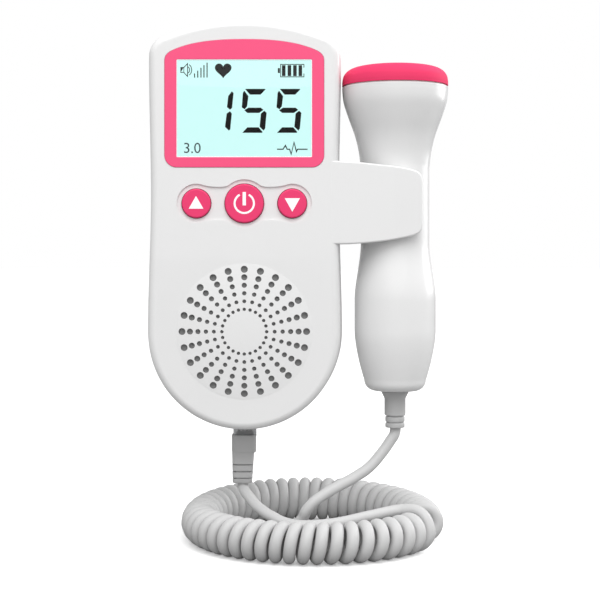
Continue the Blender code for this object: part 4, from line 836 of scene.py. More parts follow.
def finger(name, outer_y, inner_y, way):
    """One arm of the side clip; past a crease its tip leans towards the other arm."""
    piece = plate(name, CLIP_OUTLINE, outer_y, inner_y)
    piece = softened(piece, CLIP_EDGE, segments=4, degrees=60.0)
    sliced(piece, [(CLIP_BEND_X + i * CLIP_CREASE / 3, 0, 0) for i in range(4)], (1, 0, 0))
    for vert in piece.data.vertices:
        past = max(0.0, vert.co.x - CLIP_BEND_X)
        reach = past - CLIP_CREASE / 2 if past > CLIP_CREASE else past**2 / (2 * CLIP_CREASE)
        vert.co.y += way * CLIP_BEND * reach / (CLIP_TIP_X - CLIP_BEND_X)
    return piece


def grille_cutter():
    """The speaker holes: one column on each ring, repeated round the centre."""
    near, far = FRONT_Y - OVERRUN, FRONT_Y + CUT_DEPTH
    spokes = size("spokes")
    turn = math.tau * (spokes - 1) / spokes
    rings = []
    for i, diameter in enumerate(HOLE_DIAMETERS):
        hole = front_column(FIRST_RING + i * RING_STEP, GRILLE_Z, diameter / 2, near, far, sides=20)
        open_mesh(hole)
        bpy.ops.mesh.spin(
            steps=spokes - 1, dupli=True, angle=turn, center=(0, 0, GRILLE_Z), axis=(0, 1, 0)
        )
        close_mesh()
        rings.append(hole)
    return joined("grille_holes", rings)


def cord_cutter():
    """The cutter of the cord's hole in the foot of the case."""
    half, depth = CORD_HOLE_HALF_WIDTH, CORD_HOLE_HALF_DEPTH
    low = (-half, SEAM_Y - depth, -TOP_Z - OVERRUN)
    return boxed("cord_hole", low, (half, SEAM_Y + depth, CORD_HOLE_TOP))


def phones_cutter():
    """The cutter of the headphone hole in the case's left side."""
    place = (-side_half_width(PHONES_Z), PHONES_Y, PHONES_Z)
    return column(place, PHONES_RADIUS, PHONES_CUT, sides=48, turn=(0, math.pi / 2, 0))


def key_seats():
    """Each key's node, its place along X and its radius."""
    side, power = size("side_key_radius"), size("power_key_radius")
    return (
        ("button_up", -SIDE_KEY_X, side),
        ("button_power", 0.0, power),
        ("button_down", SIDE_KEY_X, side),
    )


def make_front_shell():
    """The front of the case with its disc, its clip arm and every opening."""
    edge_y = SEAM_Y - SEAM_GAP / 2
    shell = drafted(plate("front_case", case_outline(), FRONT_Y, edge_y, size("front_edge"), CASE_SEGMENTS))
    shell = combine(shell, domed("speaker_disc", DISC_RADIUS, -DISC_STEP, MM), "UNION")
    shell = fallen(sliced(shell, [(0, 0, BREAK_Z)], (0, 0, 1)))
    inner_y = PROBE_Y - CLIP_GAP / 2
    shell = combine(shell, finger("front_finger", inner_y - CLIP_THICKNESS, inner_y, 1), "UNION")
    space = drafted(plate("front_space", case_outline(CASE_WALL), FRONT_Y + CASE_WALL, SEAM_Y + MM))
    shell = combine(shell, space)
    shell = combine(shell, fallen(domed("grille_space", DISC_RADIUS, GRILLE_WALL, CUT_DEPTH)))
    near, far = FRONT_Y - OVERRUN, FRONT_Y + CUT_DEPTH
    cuts = (
        ("bezel_recess", bezel_outline(-BEZEL_GAP), FRONT_Y + BEZEL_DEPTH),
        ("window_cut", window_outline(0.0, MM), far),
        ("key_recess", recess_outline(), FRONT_Y + RECESS_DEPTH),
    )
    for name, outline, floor_y in cuts:
        shell = combine(shell, plate(name, outline, near, floor_y))
    for _, x, radius in key_seats():
        shell = combine(shell, front_column(x, KEY_Z, radius + KEY_GAP, near, far, sides=96))
    for cutter in (grille_cutter, cord_cutter, phones_cutter):
        shell = combine(shell, cutter())
    return weighted(tidy(shell, CASE_SMOOTH))


def back_case(name):
    """The back of the case as a solid block."""
    return plate(name, case_outline(), 0.0, SEAM_Y + SEAM_GAP / 2, size("back_edge"), CASE_SEGMENTS)


def make_rear_shell():
    """The back of the case with its clip arm, battery bay, cover's channel and screw posts."""
    shell = back_case("rear_case")
    inner_y = PROBE_Y + CLIP_GAP / 2
    shell = combine(shell, finger("rear_finger", inner_y + CLIP_THICKNESS, inner_y, -1), "UNION")
    cover_low, cover_high = near_box("battery_cover")
    half, top, floor_y = cover_high[0] + FIT, cover_high[2] + FIT, cover_low[1] - FIT
    wall = CASE_WALL * 2 / 3
    foot_z = -TOP_Z - OVERRUN
    bay_low = (-BAY_HALF, BAY_FLOOR_Y, BAY_LOW)
    bay_high = (BAY_HALF, OVERRUN, BAY_HIGH)
    tray_low = (-BAY_HALF - wall, BAY_FLOOR_Y - wall, BAY_LOW - wall)
    space = plate("rear_space", case_outline(CASE_WALL), SEAM_Y - MM, -CASE_WALL)
    outside = (BAY_HALF + wall, OVERRUN, BAY_HIGH + wall)
    space = combine(space, boxed("bay_outside", tray_low, outside))
    low = (-half - CASE_WALL, floor_y - CASE_WALL, foot_z)
    high = (half + CASE_WALL, OVERRUN, top + CASE_WALL)
    space = combine(space, boxed("channel_floor", low, high))
    for x, z in CASE_SCREWS:
        space = combine(space, front_column(x, z, POST_RADIUS, SEAM_Y + FIT, OVERRUN, sides=40))
    shell = combine(shell, space)
    tray = boxed("tray", tray_low, (BAY_HALF + wall, SEAM_Y + MM, BAY_HIGH + wall))
    tray = combine(tray, boxed("tray_inside", bay_low, bay_high))
    shell = combine(shell, tray, "UNION")
    shell = combine(shell, boxed("cover_channel", (-half, floor_y, foot_z), (half, OVERRUN, top)))
    shell = combine(shell, boxed("bay_inside", bay_low, bay_high))
    for x, z in CASE_SCREWS:
        shell = combine(shell, front_column(x, z, WELL_RADIUS, SCREW_SEAT_Y, OVERRUN, sides=40))
        shell = combine(shell, front_column(x, z, BORE_RADIUS, SEAM_Y - MM, OVERRUN, sides=24))
    for cutter in (cord_cutter, phones_cutter):
        shell = combine(shell, cutter())
    return weighted(tidy(shell, CASE_SMOOTH))


def make_cover():
    """The battery cover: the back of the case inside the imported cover's box, with grip grooves."""
    low, high = near_box("battery_cover")
    keep = boxed("cover_keep", (low[0], low[1], -TOP_Z - OVERRUN), (high[0], OVERRUN, high[2]))
    cover = combine(back_case("cover"), keep, "INTERSECT")
    half = COVER_GRIP_HALF
    for i in range(GROOVE_COUNT):
        z = COVER_GRIP_Z - i * GROOVE_PITCH
        outline = round_box(-half, half, z - GROOVE_HALF, z + GROOVE_HALF, GROOVE_CORNER, steps=6)
        cover = combine(cover, plate("groove", outline, -GROOVE_DEPTH, OVERRUN))
    return weighted(tidy(cover, CASE_SMOOTH))


def near_box(node):
    """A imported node's box, measured from the middle of the monitor."""
    lift = Vector((0, 0, MIDDLE_Z))
    low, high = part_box(node)
    return low - lift, high - lift


def seen(u, v, depth):
    """The place at a depth that the camera shows at picture place u, v."""
    scale = (depth - CAMERA_Y) / FOCAL_PIXELS
    return CAMERA_X + (u - CENTRE_U) * scale, EYE_Z - (v - HORIZON_V) * scale


def smoothed(points, count):
    """Points of a smooth curve through the given ones."""
    route = [Vector(point) for point in points]
    route = [2 * route[0] - route[1]] + route + [2 * route[-1] - route[-2]]
    fine = []
    for a, b, c, d in zip(route, route[1:], route[2:], route[3:]):
        for i in range(count):
            t = i / count
            bend = (2 * a - 5 * b + 4 * c - d) * t**2 + (3 * b - a - 3 * c + d) * t**3
            fine.append((2 * b + (c - a) * t + bend) / 2)
    return fine + [route[-2]]


def stroke(points, width):
    """The outline of a line of even width through (x, z) points."""
    route = [Vector(point) for point in points]
    sides = ([], [])
    for i, point in enumerate(route):
        before = (point - route[i - 1]).normalized() if i else None
        after = (route[i + 1] - point).normalized() if i + 1 < len(route) else None
        before, after = before or after, after or before
        along = (before + after).normalized()
        across = Vector((-along.y, along.x))
        reach = width / 2 / max(0.35, across.dot(Vector((-after.y, after.x))))
        sides[0].append(tuple(point + across * reach))
        sides[1].append(tuple(point - across * reach))
    return sides[0] + sides[1][::-1]


def ring_frame(share):
    """A place on the ring's middle line, the way outwards there, and how wide the curls are."""
    spread = FIRST_SPREAD * (1 - max(0.0, 1 - share / SPREAD_SHARE) ** SPREAD_POWER)
    even = RING_START + RING_SWEEP * (share + spread) / (1 + FIRST_SPREAD)
    around = even + RING_FLATNESS / 4 * math.sin(2 * even)
    width = size("ring_radius")
    depth = width * (1 - RING_FLATNESS)
    place = Vector((width * math.cos(around), depth * math.sin(around))) + Vector(RING_CENTRE)
    outwards = Vector((depth * math.cos(around), width * math.sin(around))).normalized()
    first = FIRST_CURL_SWELL * max(0.0, 1 - share * size("curl_turns") / FIRST_CURL)
    back = CURL_SWELL * max(0.0, math.sin(around))
    return place, outwards, size("curl_diameter") + back + first


def curl_point(share, inwards=0.0):
    """A place on the curls, at a share of their length."""
    place, outwards, diameter = ring_frame(share)
    turn = math.pi / 2 - math.tau * size("curl_turns") * share
    small = (diameter - size("curl_cord")) / 2
    place += outwards * (small * math.cos(turn) - inwards)
    return Vector((place.x, place.y, FLOOR_Z + diameter / 2 + small * math.sin(turn)))


def lead_path(route, share, spans):
    """A straight lead from its strain relief to one end of the curls."""
    ends = [curl_point(share, span * CORD_DIAMETER) for span in spans]
    start = Vector(route[0]) + Vector((0, 0, MM))
    return smoothed([start, *route[1:], *ends], LEAD_POINTS)


def eased(path, joint, reach=7, rounds=10):
    """The path with the corner at one of its points rounded off."""
    near = range(joint - reach, joint + reach)
    for _ in range(rounds):
        moved = [(path[i - 1] + path[i] * 2 + path[i + 1]) / 4 for i in near]
        path = path[:near.start] + moved + path[near.stop:]
    return path


def path_length(path):
    return sum((b - a).length for a, b in zip(path, path[1:]))


def tube(name, path, curls=range(0)):
    """One open curve along a path, as thick as the cord, and a little thicker along its curls."""
    deselect()
    bpy.ops.curve.primitive_bezier_curve_add(location=(0, 0, 0))
    piece = bpy.context.object
    piece.name = name
    curve = piece.data
    curve.splines.clear()
    spline = curve.splines.new("POLY")
    spline.points.add(len(path) - 1)
    for i, (point, place) in enumerate(zip(spline.points, path)):
        point.co = (*place, 1.0)
        inside = min(i - curls.start, curls.stop - i)
        share = min(max(inside / BLEND_POINTS, 0.0), 1.0)
        point.radius = blend_values(1.0, size("curl_cord") / CORD_DIAMETER, share)
    curve.bevel_depth = CORD_DIAMETER / 2
    curve.bevel_resolution = 5
    curve.use_fill_caps = True
    return piece


def lifted(path):
    """The path at the frame's own height."""
    return [point + Vector((0, 0, MIDDLE_Z)) for point in path]


def make_main_cord():
    """The plug's lead with the curls, and the path it follows."""
    count = round(size("curl_turns") * CURL_POINTS)
    curls = [curl_point(i / count) for i in range(count + 1)]
    lead = lead_path(MONITOR_LEAD_ROUTE, 0.0, [0.0])[:-1]
    path = eased(lead + curls, len(lead)) + [curl_point(1.0, END_SPAN * CORD_DIAMETER)]
    return tube("curly_cord_fine", path, range(len(lead), len(lead) + count)), path


def make_probe_lead():
    """The probe's lead as a mesh, and the path it follows."""
    path = lead_path(PROBE_LEAD_ROUTE, 1.0, PROBE_LEAD_SPANS)
    piece = tube("probe_lead_fine", path)
    pick(piece)
    bpy.ops.object.convert(target="MESH")
    bpy.ops.object.shade_smooth()
    return bpy.context.object, path


def handle_profile(inset=0.0):
    """(radius, height) points of the handle from the cap's seam to its rounded tail."""
    flare = smoothed([Vector((radius, height)) for height, radius in HEAD_FLARE_SHARES], 5)
    points = []
    for share in reversed(flare):
        radius = blend_values(NECK_RADIUS, HEAD_RADIUS, share.x)
        points.append((radius - inset, blend_values(NECK_HIGH, CAP_SEAM, share.y)))
    grip = size("grip_radius")
    steps = [i / HANDLE_STEPS for i in range(HANDLE_STEPS + 1)]
    for share in steps:
        radius = blend_values(NECK_RADIUS, grip, ease(share))
        points.append((radius - inset, blend_values(NECK_LOW, GRIP_HIGH, share)))
    for share in steps:
        radius = blend_values(grip, TAIL_RADIUS, share**TAPER_POWER)
        points.append((radius - inset, blend_values(GRIP_LOW, TAIL_Z, share)))
    return points


def make_probe_half(name, way):
    """Half of the handle; way -1 is the front half."""
    outer = handle_profile()
    outer[0] = (HEAD_RADIUS, CAP_SEAM - HEAD_BEVEL)
    outer.insert(0, (HEAD_RADIUS - HEAD_BEVEL / 2, CAP_SEAM - CAP_GAP))
    corner = TAIL_Z - HANDLE_END
    tail = arc((TAIL_RADIUS - corner, TAIL_Z), corner, 0.0, -math.pi / 2, 6)[1:]
    tail += [(RELIEF_COLLAR, HANDLE_END), (RELIEF_COLLAR, HANDLE_END + CASE_WALL)]
    inner = [(r, z) for r, z in handle_profile(CASE_WALL) if z > HANDLE_END + 2 * CASE_WALL]
    lowest = (TAIL_RADIUS - CASE_WALL, HANDLE_END + CASE_WALL)
    top = (HEAD_RADIUS - CASE_WALL, CAP_SEAM - CAP_GAP)
    profile = outer + tail + [lowest] + inner[:0:-1] + [top]
    piece = spun(name, profile, (0, 0, 0), steps=48, angle=way * math.pi)
    open_mesh(piece)
    bpy.ops.mesh.fill_holes(sides=0)
    close_mesh(outwards=True)
    piece.location = (PROBE_X, PROBE_Y + way * SEAM_GAP / 3, 0)
    return tidy(piece, degrees=35.0)


def make_cap():
    """The cap: a solid roof over a lip that goes down inside the handle."""
    dome = smoothed([Vector(point) for point in CAP_DOME], 6)
    profile = [(max(0.0, point.x), point.y) for point in dome]
    inner = HEAD_RADIUS - CAP_BORE_SHARE * CASE_WALL
    lip = HEAD_RADIUS - CAP_LIP_SHARE * CASE_WALL
    corner, middle = (CAP_SEAM + share * CASE_WALL for share in CAP_ROOF_SHARES)
    profile += [(HEAD_RADIUS, CAP_SEAM), (HEAD_RADIUS - CASE_WALL, CAP_SEAM)]
    profile += [(lip, CAP_SEAM - CASE_WALL), (inner, CAP_SEAM - CASE_WALL)]
    profile += [(inner, corner), (0.0, middle)]
    piece = spun("cap", profile, (0, 0, 0))
    piece.location = (PROBE_X, PROBE_Y, 0)
    return tidy(piece, degrees=40.0)


def make_relief():
    """The probe's strain relief: a flared collar, a plain body and two rings."""
    rounded, small = RELIEF_ROUND, RELIEF_RING_ROUND
    corner = (RELIEF_FLARE - rounded, RELIEF_TOP - rounded)
    profile = [(0.0, RELIEF_TOP)] + arc(corner, rounded, math.pi / 2, 0.0, 5)
    profile += [(RELIEF_BODY, RELIEF_BODY_TOP), (RELIEF_BODY, RELIEF_BODY_END + RELIEF_CHAMFER)]
    profile.append((RELIEF_BODY - RELIEF_CHAMFER, RELIEF_BODY_END))
    for low, high, radius in RELIEF_RINGS:
        profile += [(RELIEF_NECK, high + small), (RELIEF_NECK, high)]
        profile += arc((radius - small, high - small), small, math.pi / 2, 0.0, 4)
        profile += arc((radius - small, low + small), small, 0.0, -math.pi / 2, 4)
    profile.append((0.0, RELIEF_END))
    piece = spun("relief", profile, (0, 0, 0), steps=64)
    piece.location = (PROBE_X, PROBE_Y, 0)
    return tidy(piece, degrees=40.0)


def stacked(name, outline, centre, stations):
    """Sections along Z: each station is a height, the outline's scale and a shift along X."""
    piece = traced(name, [(x, y, 0.0) for x, y in outline])
    open_mesh(piece)
    for _ in stations[1:]:
        bpy.ops.mesh.extrude_region_move(TRANSFORM_OT_translate={"value": (0, 0, MM)})
    close_mesh()
    for vert in piece.data.vertices:
        height, scale, shift = stations[round(vert.co.z / MM)]
        vert.co = (centre[0] + shift + vert.co.x * scale, centre[1] + vert.co.y * scale, height)
    open_mesh(piece)
    close_mesh(outwards=True)
    return piece


def make_boot():
    """The plug's strain relief, which narrows and leans below its step."""
    half, depth, lip = BOOT_WIDTH / 2, BOOT_DEPTH / 2, BOOT_LIP
    outline = round_box(-half, half, -depth, depth, BOOT_CORNER, steps=8)
    stations = [
        (PLUG_TAIL, BOOT_TOP_SCALE, 0.0),
        (PLUG_TAIL - lip, 1.0, 0.0),
        (BOOT_STEP + lip, 1.0, 0.0),
        (BOOT_STEP, BOOT_STEP_SCALE, 0.0),
        (BOOT_STEP - lip, BOOT_NECK, -BOOT_LEAN / 2),
    ]
    for groove in BOOT_GROOVES:
        share = (BOOT_STEP - groove) / (BOOT_STEP - BOOT_END)
        scale = blend_values(BOOT_NECK, BOOT_TAIL, share)
        shift = -blend_values(BOOT_LEAN / 2, BOOT_LEAN, share)
        for offset, cut in BOOT_GROOVE:
            stations.append((groove + offset * MM, scale - cut, shift))
    stations.append((BOOT_END + lip, BOOT_TAIL, -BOOT_LEAN))
    stations.append((BOOT_END, BOOT_TAIL - BOOT_END_TUCK, -BOOT_LEAN))
    return tidy(stacked("boot", outline, (BOOT_X, SEAM_Y), stations), degrees=50.0)


def make_plug():
    """The clear plug with its latch."""
    low, high = near_box("plug_body")
    half, depth = (high[0] - low[0]) / 2, PLUG_DEPTH / 2
    body = boxed("plug", (-half, SEAM_Y - depth, low[2]), (half, SEAM_Y + depth, high[2]))
    latch_low = (-LATCH_HALF, SEAM_Y + depth - LATCH_SINK, low[2])
    latch = boxed("latch", latch_low, (LATCH_HALF, high[1], high[2] - MM))
    return tidy(softened(combine(body, latch, "UNION"), PLUG_EDGE), degrees=40.0)


def make_plug_wires():
    """The four wires that show through the clear plug, with the dark bar that holds them."""
    low, high = near_box("plug_body")
    bar_low = (low[0] + MM, SEAM_Y - WIRE_BAR_HALF, low[2] + WIRE_BAR_LOW)
    bar_high = (high[0] - MM, SEAM_Y + WIRE_BAR_HALF, low[2] + WIRE_BAR_HIGH)
    pieces = [boxed("wire_bar", bar_low, bar_high)]
    for i in range(PLUG_WIRE_COUNT):
        x = (i - (PLUG_WIRE_COUNT - 1) / 2) * PLUG_WIRE_PITCH
        place = (x, SEAM_Y, low[2] + PLUG_WIRE_LENGTH / 2)
        pieces.append(column(place, PLUG_WIRE_RADIUS, PLUG_WIRE_LENGTH, sides=16))
    return tidy(joined("plug_wires", pieces), degrees=40.0)


def make_speaker_cloth():
    """The grey cloth that shows behind the speaker holes."""
    near, far = GRILLE_WALL + FIT / 10, GRILLE_WALL + FIT
    return tidy(fallen(domed("speaker_cloth", DISC_RADIUS - FIT, near, far)))


def window_outline(inset, corner):
    """The display's window, or a smaller one inside it."""
    half, low, high = WINDOW_HALF - inset, WINDOW_LOW + inset, WINDOW_HIGH - inset
    return round_box(-half, half, low, high, corner)


def make_bezel():
    """The frame round the display's window."""
    face = FRONT_Y - BEZEL_STAND
    piece = plate("bezel", bezel_outline(), face, face + BEZEL_THICKNESS)
    window = window_outline(0.0, WINDOW_CORNER)
    piece = combine(piece, plate("bezel_window", window, face - MM, face + OVERRUN))
    return weighted(tidy(softened(piece, BEZEL_EDGE, degrees=50.0), degrees=40.0))


def make_window_rim():
    """The thin white line round the window, in the mark paint with its faint painted glow."""
    face = FRONT_Y - RIM_STAND
    piece = plate("rim", window_outline(0.0, WINDOW_CORNER), face, face + RIM_THICKNESS)
    inner = window_outline(RIM_WIDTH, WINDOW_CORNER / 2)
    return tidy(combine(piece, plate("rim_inside", inner, face - MM, face + 2 * MM)))


def pane(name, node, near_y, edge):
    """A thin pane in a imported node's box, with its near face at near_y or at the box's own."""
    low, high = near_box(node)
    outline = round_box(low[0], high[0], low[2], high[2], PANE_CORNER)
    near_y = low[1] if near_y is None else near_y
    return weighted(tidy(plate(name, outline, near_y, high[1], edge, segments=2)))


def ink(outline, y=LCD_Y):
    """A thin printed shape that stands a little proud of the face at y."""
    return plate("ink", outline, y - INK_RISE, y + INK_SINK)


def from_view(points, depth=LCD_Y):
    """Picture places as (x, z) points at a depth."""
    return [seen(u, v, depth) for u, v in points]


def upright(left, width, top, foot):
    """A rectangle's corners in the picture."""
    return ((left, foot), (left + width, foot), (left + width, top), (left, top))


def heart_outline():
    points = []
    for i in range(HEART_POINTS):
        t = math.tau * i / HEART_POINTS
        rise = 13 * math.cos(t) - 5 * math.cos(2 * t) - 2 * math.cos(3 * t) - math.cos(4 * t)
        u = HEART_CENTRE[0] + HEART_SIZE[0] * math.sin(t) ** 3
        points.append((u, HEART_CENTRE[1] - HEART_SIZE[1] * rise))
    return points


def make_screen_ink():
    """The display's figures and signs, filled shapes first and then lines."""
    shapes = []
    for left, bars in ((ONE_LEFT, ONE_BARS), *((left, FIVE_BARS) for left in FIVE_LEFTS)):
        shapes += [[(left + u, FIGURE_TOP + v) for u, v in bar] for bar in bars]
    shapes.append(heart_outline())
    for u, top in SIGNAL_BARS:
        shapes.append(upright(u - SIGNAL_HALF, 2 * SIGNAL_HALF, top, SIGNAL_FOOT))
    shapes += [upright(u, CHARGE_WIDTH, CHARGE_TOP, CHARGE_FOOT) for u in CHARGE_LEFTS]
    shapes.append(BATTERY_TIP)
    lines = [(BATTERY_FRAME, SIGN_LINE), (HORN, SIGN_LINE), (HORN_BACK, FINE_LINE)]
    for radius, lean in WAVES:
        wave = arc(WAVE_CENTRE, radius, math.radians(-lean), math.radians(lean), 10)
        lines.append((wave, SIGN_LINE))
    lines.append((PULSE, PULSE_LINE))
    pieces = [ink(from_view(shape)) for shape in shapes]
    pieces += [ink(stroke(from_view(line), width)) for line, width in lines]
    return joined("screen_ink", pieces)


def make_screen_number():
    """The plain number at the foot of the display."""
    deselect()
    x, z = seen(*NUMBER_PLACE, LCD_Y)
    bpy.ops.object.text_add(location=(x, LCD_Y - NUMBER_RISE, z), rotation=(math.pi / 2, 0, 0))
    piece = bpy.context.object
    piece.data.body = "3.0"
    piece.data.size = NUMBER_SIZE
    piece.data.extrude = INK_SINK
    bpy.ops.object.convert(target="MESH")
    bpy.context.object.name = "screen_number"
    return bpy.context.object


def make_key(name, x, radius):
    """A round key with a flange behind the case's wall and a stem for its switch."""
    face, edge = FRONT_Y - size("key_stand"), KEY_EDGE
    flange = FRONT_Y + CASE_WALL + FIT
    wide, stem = radius + KEY_FLANGE, radius * KEY_STEM_SHARE
    profile = [(0.0, face)] + arc((radius - edge, face + edge), edge, -math.pi / 2, 0.0, 6)
    profile += [(radius, flange), (wide, flange), (wide, flange + KEY_FLANGE)]
    profile += [(stem, flange + KEY_FLANGE), (stem, flange + KEY_STEM), (0.0, flange + KEY_STEM)]
    piece = spun(name, profile, (0, 0, 0), axis=(0, 1, 0))
    piece.location = (x, 0, KEY_Z)
    return weighted(tidy(piece, degrees=40.0))


def make_key_marks():
    """The two triangles and the power sign, in order of their keys."""
    y = FRONT_Y - size("key_stand")
    up, down = (ink(from_view(mark, y), y) for mark in (UP_MARK, DOWN_MARK))
    start, end = math.pi / 2 + POWER_GAP, math.pi / 2 + math.tau - POWER_GAP
    ring = arc((0.0, KEY_Z), POWER_RING, start, end, 60)
    power = joined("power_mark", [ink(stroke(ring, POWER_LINE), y), ink(POWER_BAR, y)])
    return up, power, down


def make_case_screw(x, z, number):
    """A screw with a cross slot, in its well at the back."""
    seat = SCREW_SEAT_Y + FIT
    top, rounded = seat + SCREW_HEAD_HEIGHT, SCREW_HEAD_ROUND
    point_y = SEAM_Y - SCREW_REACH
    profile = [(0.0, point_y), (SCREW_SHAFT, point_y + SCREW_POINT)]
    profile += [(SCREW_SHAFT, seat), (SCREW_HEAD, seat)]
    profile += arc((SCREW_HEAD - rounded, top - rounded), rounded, 0.0, math.pi / 2, 5)
    profile.append((0.0, top))
    piece = spun(f"screw_{number}", profile, (0, 0, 0), steps=40, axis=(0, 1, 0))
    piece.location = (x, 0, z)
    pick(piece)
    settle()
    slot = (SLOT_HALF_WIDTH, SLOT_HALF_LENGTH)
    for wide, tall in (slot, slot[::-1]):
        low = (x - wide, top - SLOT_DEPTH, z - tall)
        piece = combine(piece, boxed("slot", low, (x + wide, top + MM, z + tall)))
    return tidy(piece, degrees=35.0)


def tint(name, description, default):
    """A colour that the user can change, in linear light."""
    return FloatVectorProperty(name=name, description=description, subtype="COLOR", default=default)


def length(name, description, default):
    """A length that the user can change, in metres."""
    return FloatProperty(name=name, description=description, unit="LENGTH", default=default)


class DopplerColours(bpy.types.PropertyGroup):
    """Base colours of the finishes."""

    case: tint("Case", "White moulded plastic", (0.82, 0.82, 0.82))
    bezel: tint("Bezel", "Pink screen frame", (0.95, 0.095, 0.235))
    key: tint("Keys", "Pink keys", (0.86, 0.047, 0.17))
    cap: tint("Cap", "Satin pink probe cap", (0.81, 0.05, 0.145))
    display: tint("Display", "Lit display", (0.615, 0.985, 0.955))
    cord: tint("Cord", "Grey cord", (0.56, 0.56, 0.56))
    boot: tint("Boot", "Grey strain reliefs", (0.48, 0.48, 0.48))


class DopplerSizes(bpy.types.PropertyGroup):
    """Sizes of the keys, the grille, the case's edges, the handle, the curls and the stage."""

    side_key_radius: length("Side key radius", "Radius of each volume key", 4.62 * MM)
    power_key_radius: length("Power key radius", "Radius of the middle key", 6.18 * MM)
    key_stand: length("Key stand", "How far the keys stand out of the front", 0.55 * MM)
    spokes: IntProperty(name="Grille spokes", description="Speaker holes on each ring", default=24)
    front_edge: length("Front edge", "Rounding of the case's front edge", 2.2 * MM)
    back_edge: length("Back edge", "Rounding of the case's back edge", 4.0 * MM)
    grip_radius: length("Grip radius", "Widest radius of the probe's handle", 13.3 * MM)
    curl_cord: length("Curl thickness", "Thickness of the cord in its curls", 3.9 * MM)
    curl_diameter: length("Curl diameter", "Width of one curl at the front of the ring", 13.0 * MM)
    curl_turns: FloatProperty(name="Curls", description="Number of turns in the cord", default=49.5)
    ring_radius: length("Ring radius", "Radius of the cord's ring on the floor", 36.9 * MM)
    camera_distance: length("Camera distance", "From the camera to the case's back", -CAMERA_Y)
    floor_half: length("Floor half width", "Half the width of the floor", 6.0)
    lamp_power: FloatProperty(name="Lamps", description="Watts of each lamp", unit="POWER", default=3.3)
    sun_strength: FloatProperty(name="Top light", description="Strength of the soft light", default=1.2)
    world_light: FloatProperty(name="Sky", description="Strength of the studio's walls", default=0.6)


def colour(name):
    """The user's colour of that name."""
    return tuple(getattr(bpy.context.scene.doppler_colours, name))


def size(name):
    """The user's size of that name."""
    return getattr(bpy.context.scene.doppler_sizes, name)


FINISHES = {}


def finish_for(name):
    """Each finish is made once, when its first piece needs it."""
    if name not in FINISHES:
        FINISHES[name] = MAKERS[name]()
    return FINISHES[name]


def lit_display():
    finish = Finish("lcd_glass", roughness=0.3)
    bright = colour("display")
    dim = tuple(value * 0.985 for value in bright)
    finish.put("Base Color", (0.02, 0.03, 0.03))
    finish.put("Emission Color", finish.mixed(finish.noise(60.0, 2.0), dim, bright))
    finish.put("Emission Strength", 1.0)
    return finish.material


def clear_lens():
    finish = Finish("lens_clear", transmission_weight=1.0, ior=1.42)
    finish.put("Base Color", (0.995, 0.998, 1.0))
    finish.put("Roughness", finish.noise(300.0, 2.0) * 0.02)
    return finish.material


def clear_plug():
    finish = Finish("plug_clear", transmission_weight=0.7, ior=1.45)
    finish.put("Base Color", (0.88, 0.89, 0.9))
    finish.put("Roughness", finish.noise(500.0, 2.0) * 0.1 + 0.08)
    return finish.material


def mark_paint():
    finish = Finish("mark_paint", specular_ior_level=0.4)
    tone = finish.mixed(finish.noise(400.0), (0.9, 0.9, 0.9), (0.95, 0.95, 0.95))
    finish.put("Base Color", tone)
    finish.put("Roughness", finish.noise(500.0) * 0.1 + 0.4)
    # Painted glow: a faint white emission lifts the printed marks brighter than the lamps alone light them
    finish.put("Emission Color", WHITE)
    finish.put("Emission Strength", 0.12)
    return finish.material


def steel():
    finish = Finish("bright_steel", metallic=1.0)
    tone = finish.mixed(finish.noise(300.0), (0.55, 0.55, 0.56), (0.65, 0.65, 0.65))
    finish.put("Base Color", tone)
    finish.put("Roughness", finish.noise(900.0, 3.0) * 0.2 + 0.2)
    return finish.material


def plastic(name, shade, roughness, **details):
    """What makes one moulded finish; its shade is a user's colour or a fixed one."""

    def make():
        tone = colour(shade) if isinstance(shade, str) else shade
        return moulded(name, tone, roughness, **details)

    return make


MAKERS = {
    "case_white": plastic("white_case", "case", 0.34, change=0.012),
    "probe_white": plastic("white_probe", "case", 0.2, depth=0.004 * MM, change=0.012),
    "bezel_pink": plastic("pink_bezel", "bezel", 0.42, change=0.02, specular=0.3),
    "button_pink": plastic("pink_keys", "key", 0.4, change=0.02, specular=0.3),
    "cap_pink": plastic("pink_cap", "cap", 0.6, depth=0.006 * MM, change=0.02, specular=0.08),
    "cord_grey": plastic("cord_grey", "cord", 0.5, scale=1500.0, depth=0.02 * MM, change=0.05),
    "boot_grey": plastic("boot_grey", "boot", 0.5, scale=1800.0, depth=0.02 * MM, change=0.05),
    "black_plastic": plastic("black_plastic", (0.03, 0.03, 0.032), 0.5, change=0.1),
    "display_ink": plastic("display_ink", (0.004, 0.005, 0.006), 0.45, change=0.3),
    "soft_ink": plastic("soft_ink", (0.03, 0.07, 0.08), 0.45, change=0.2),
    "speaker_cloth": plastic(
        "speaker_cloth", (0.2, 0.2, 0.2), 0.9, scale=3000.0, depth=0.05 * MM, change=0.1
    ),
    "cone_paper": plastic(
        "cone_paper", (0.06, 0.06, 0.06), 0.85, scale=900.0, depth=0.05 * MM, change=0.2
    ),
    "board_green": plastic(
        "board_green", (0.015, 0.16, 0.06), 0.4, scale=1200.0, depth=0.03 * MM, change=0.3
    ),
    "cell_wrap": plastic(
        "cell_wrap", (0.06, 0.08, 0.12), 0.3, scale=1200.0, depth=0.01 * MM, change=0.1
    ),
    "keypad_silicone": plastic("keypad_silicone", (0.7, 0.7, 0.68), 0.6),
    "piezo_ceramic": plastic("piezo_ceramic", (0.72, 0.68, 0.56), 0.6),
    "lens_clear": clear_lens,
    "lcd_glass": lit_display,
    "plug_clear": clear_plug,
    "bright_steel": steel,
    "mark_paint": mark_paint,
}


def clad(piece, finish):
    """Gives a piece one finish in place of any that it had."""
    piece.data.materials.clear()
    piece.data.materials.append(finish_for(finish))


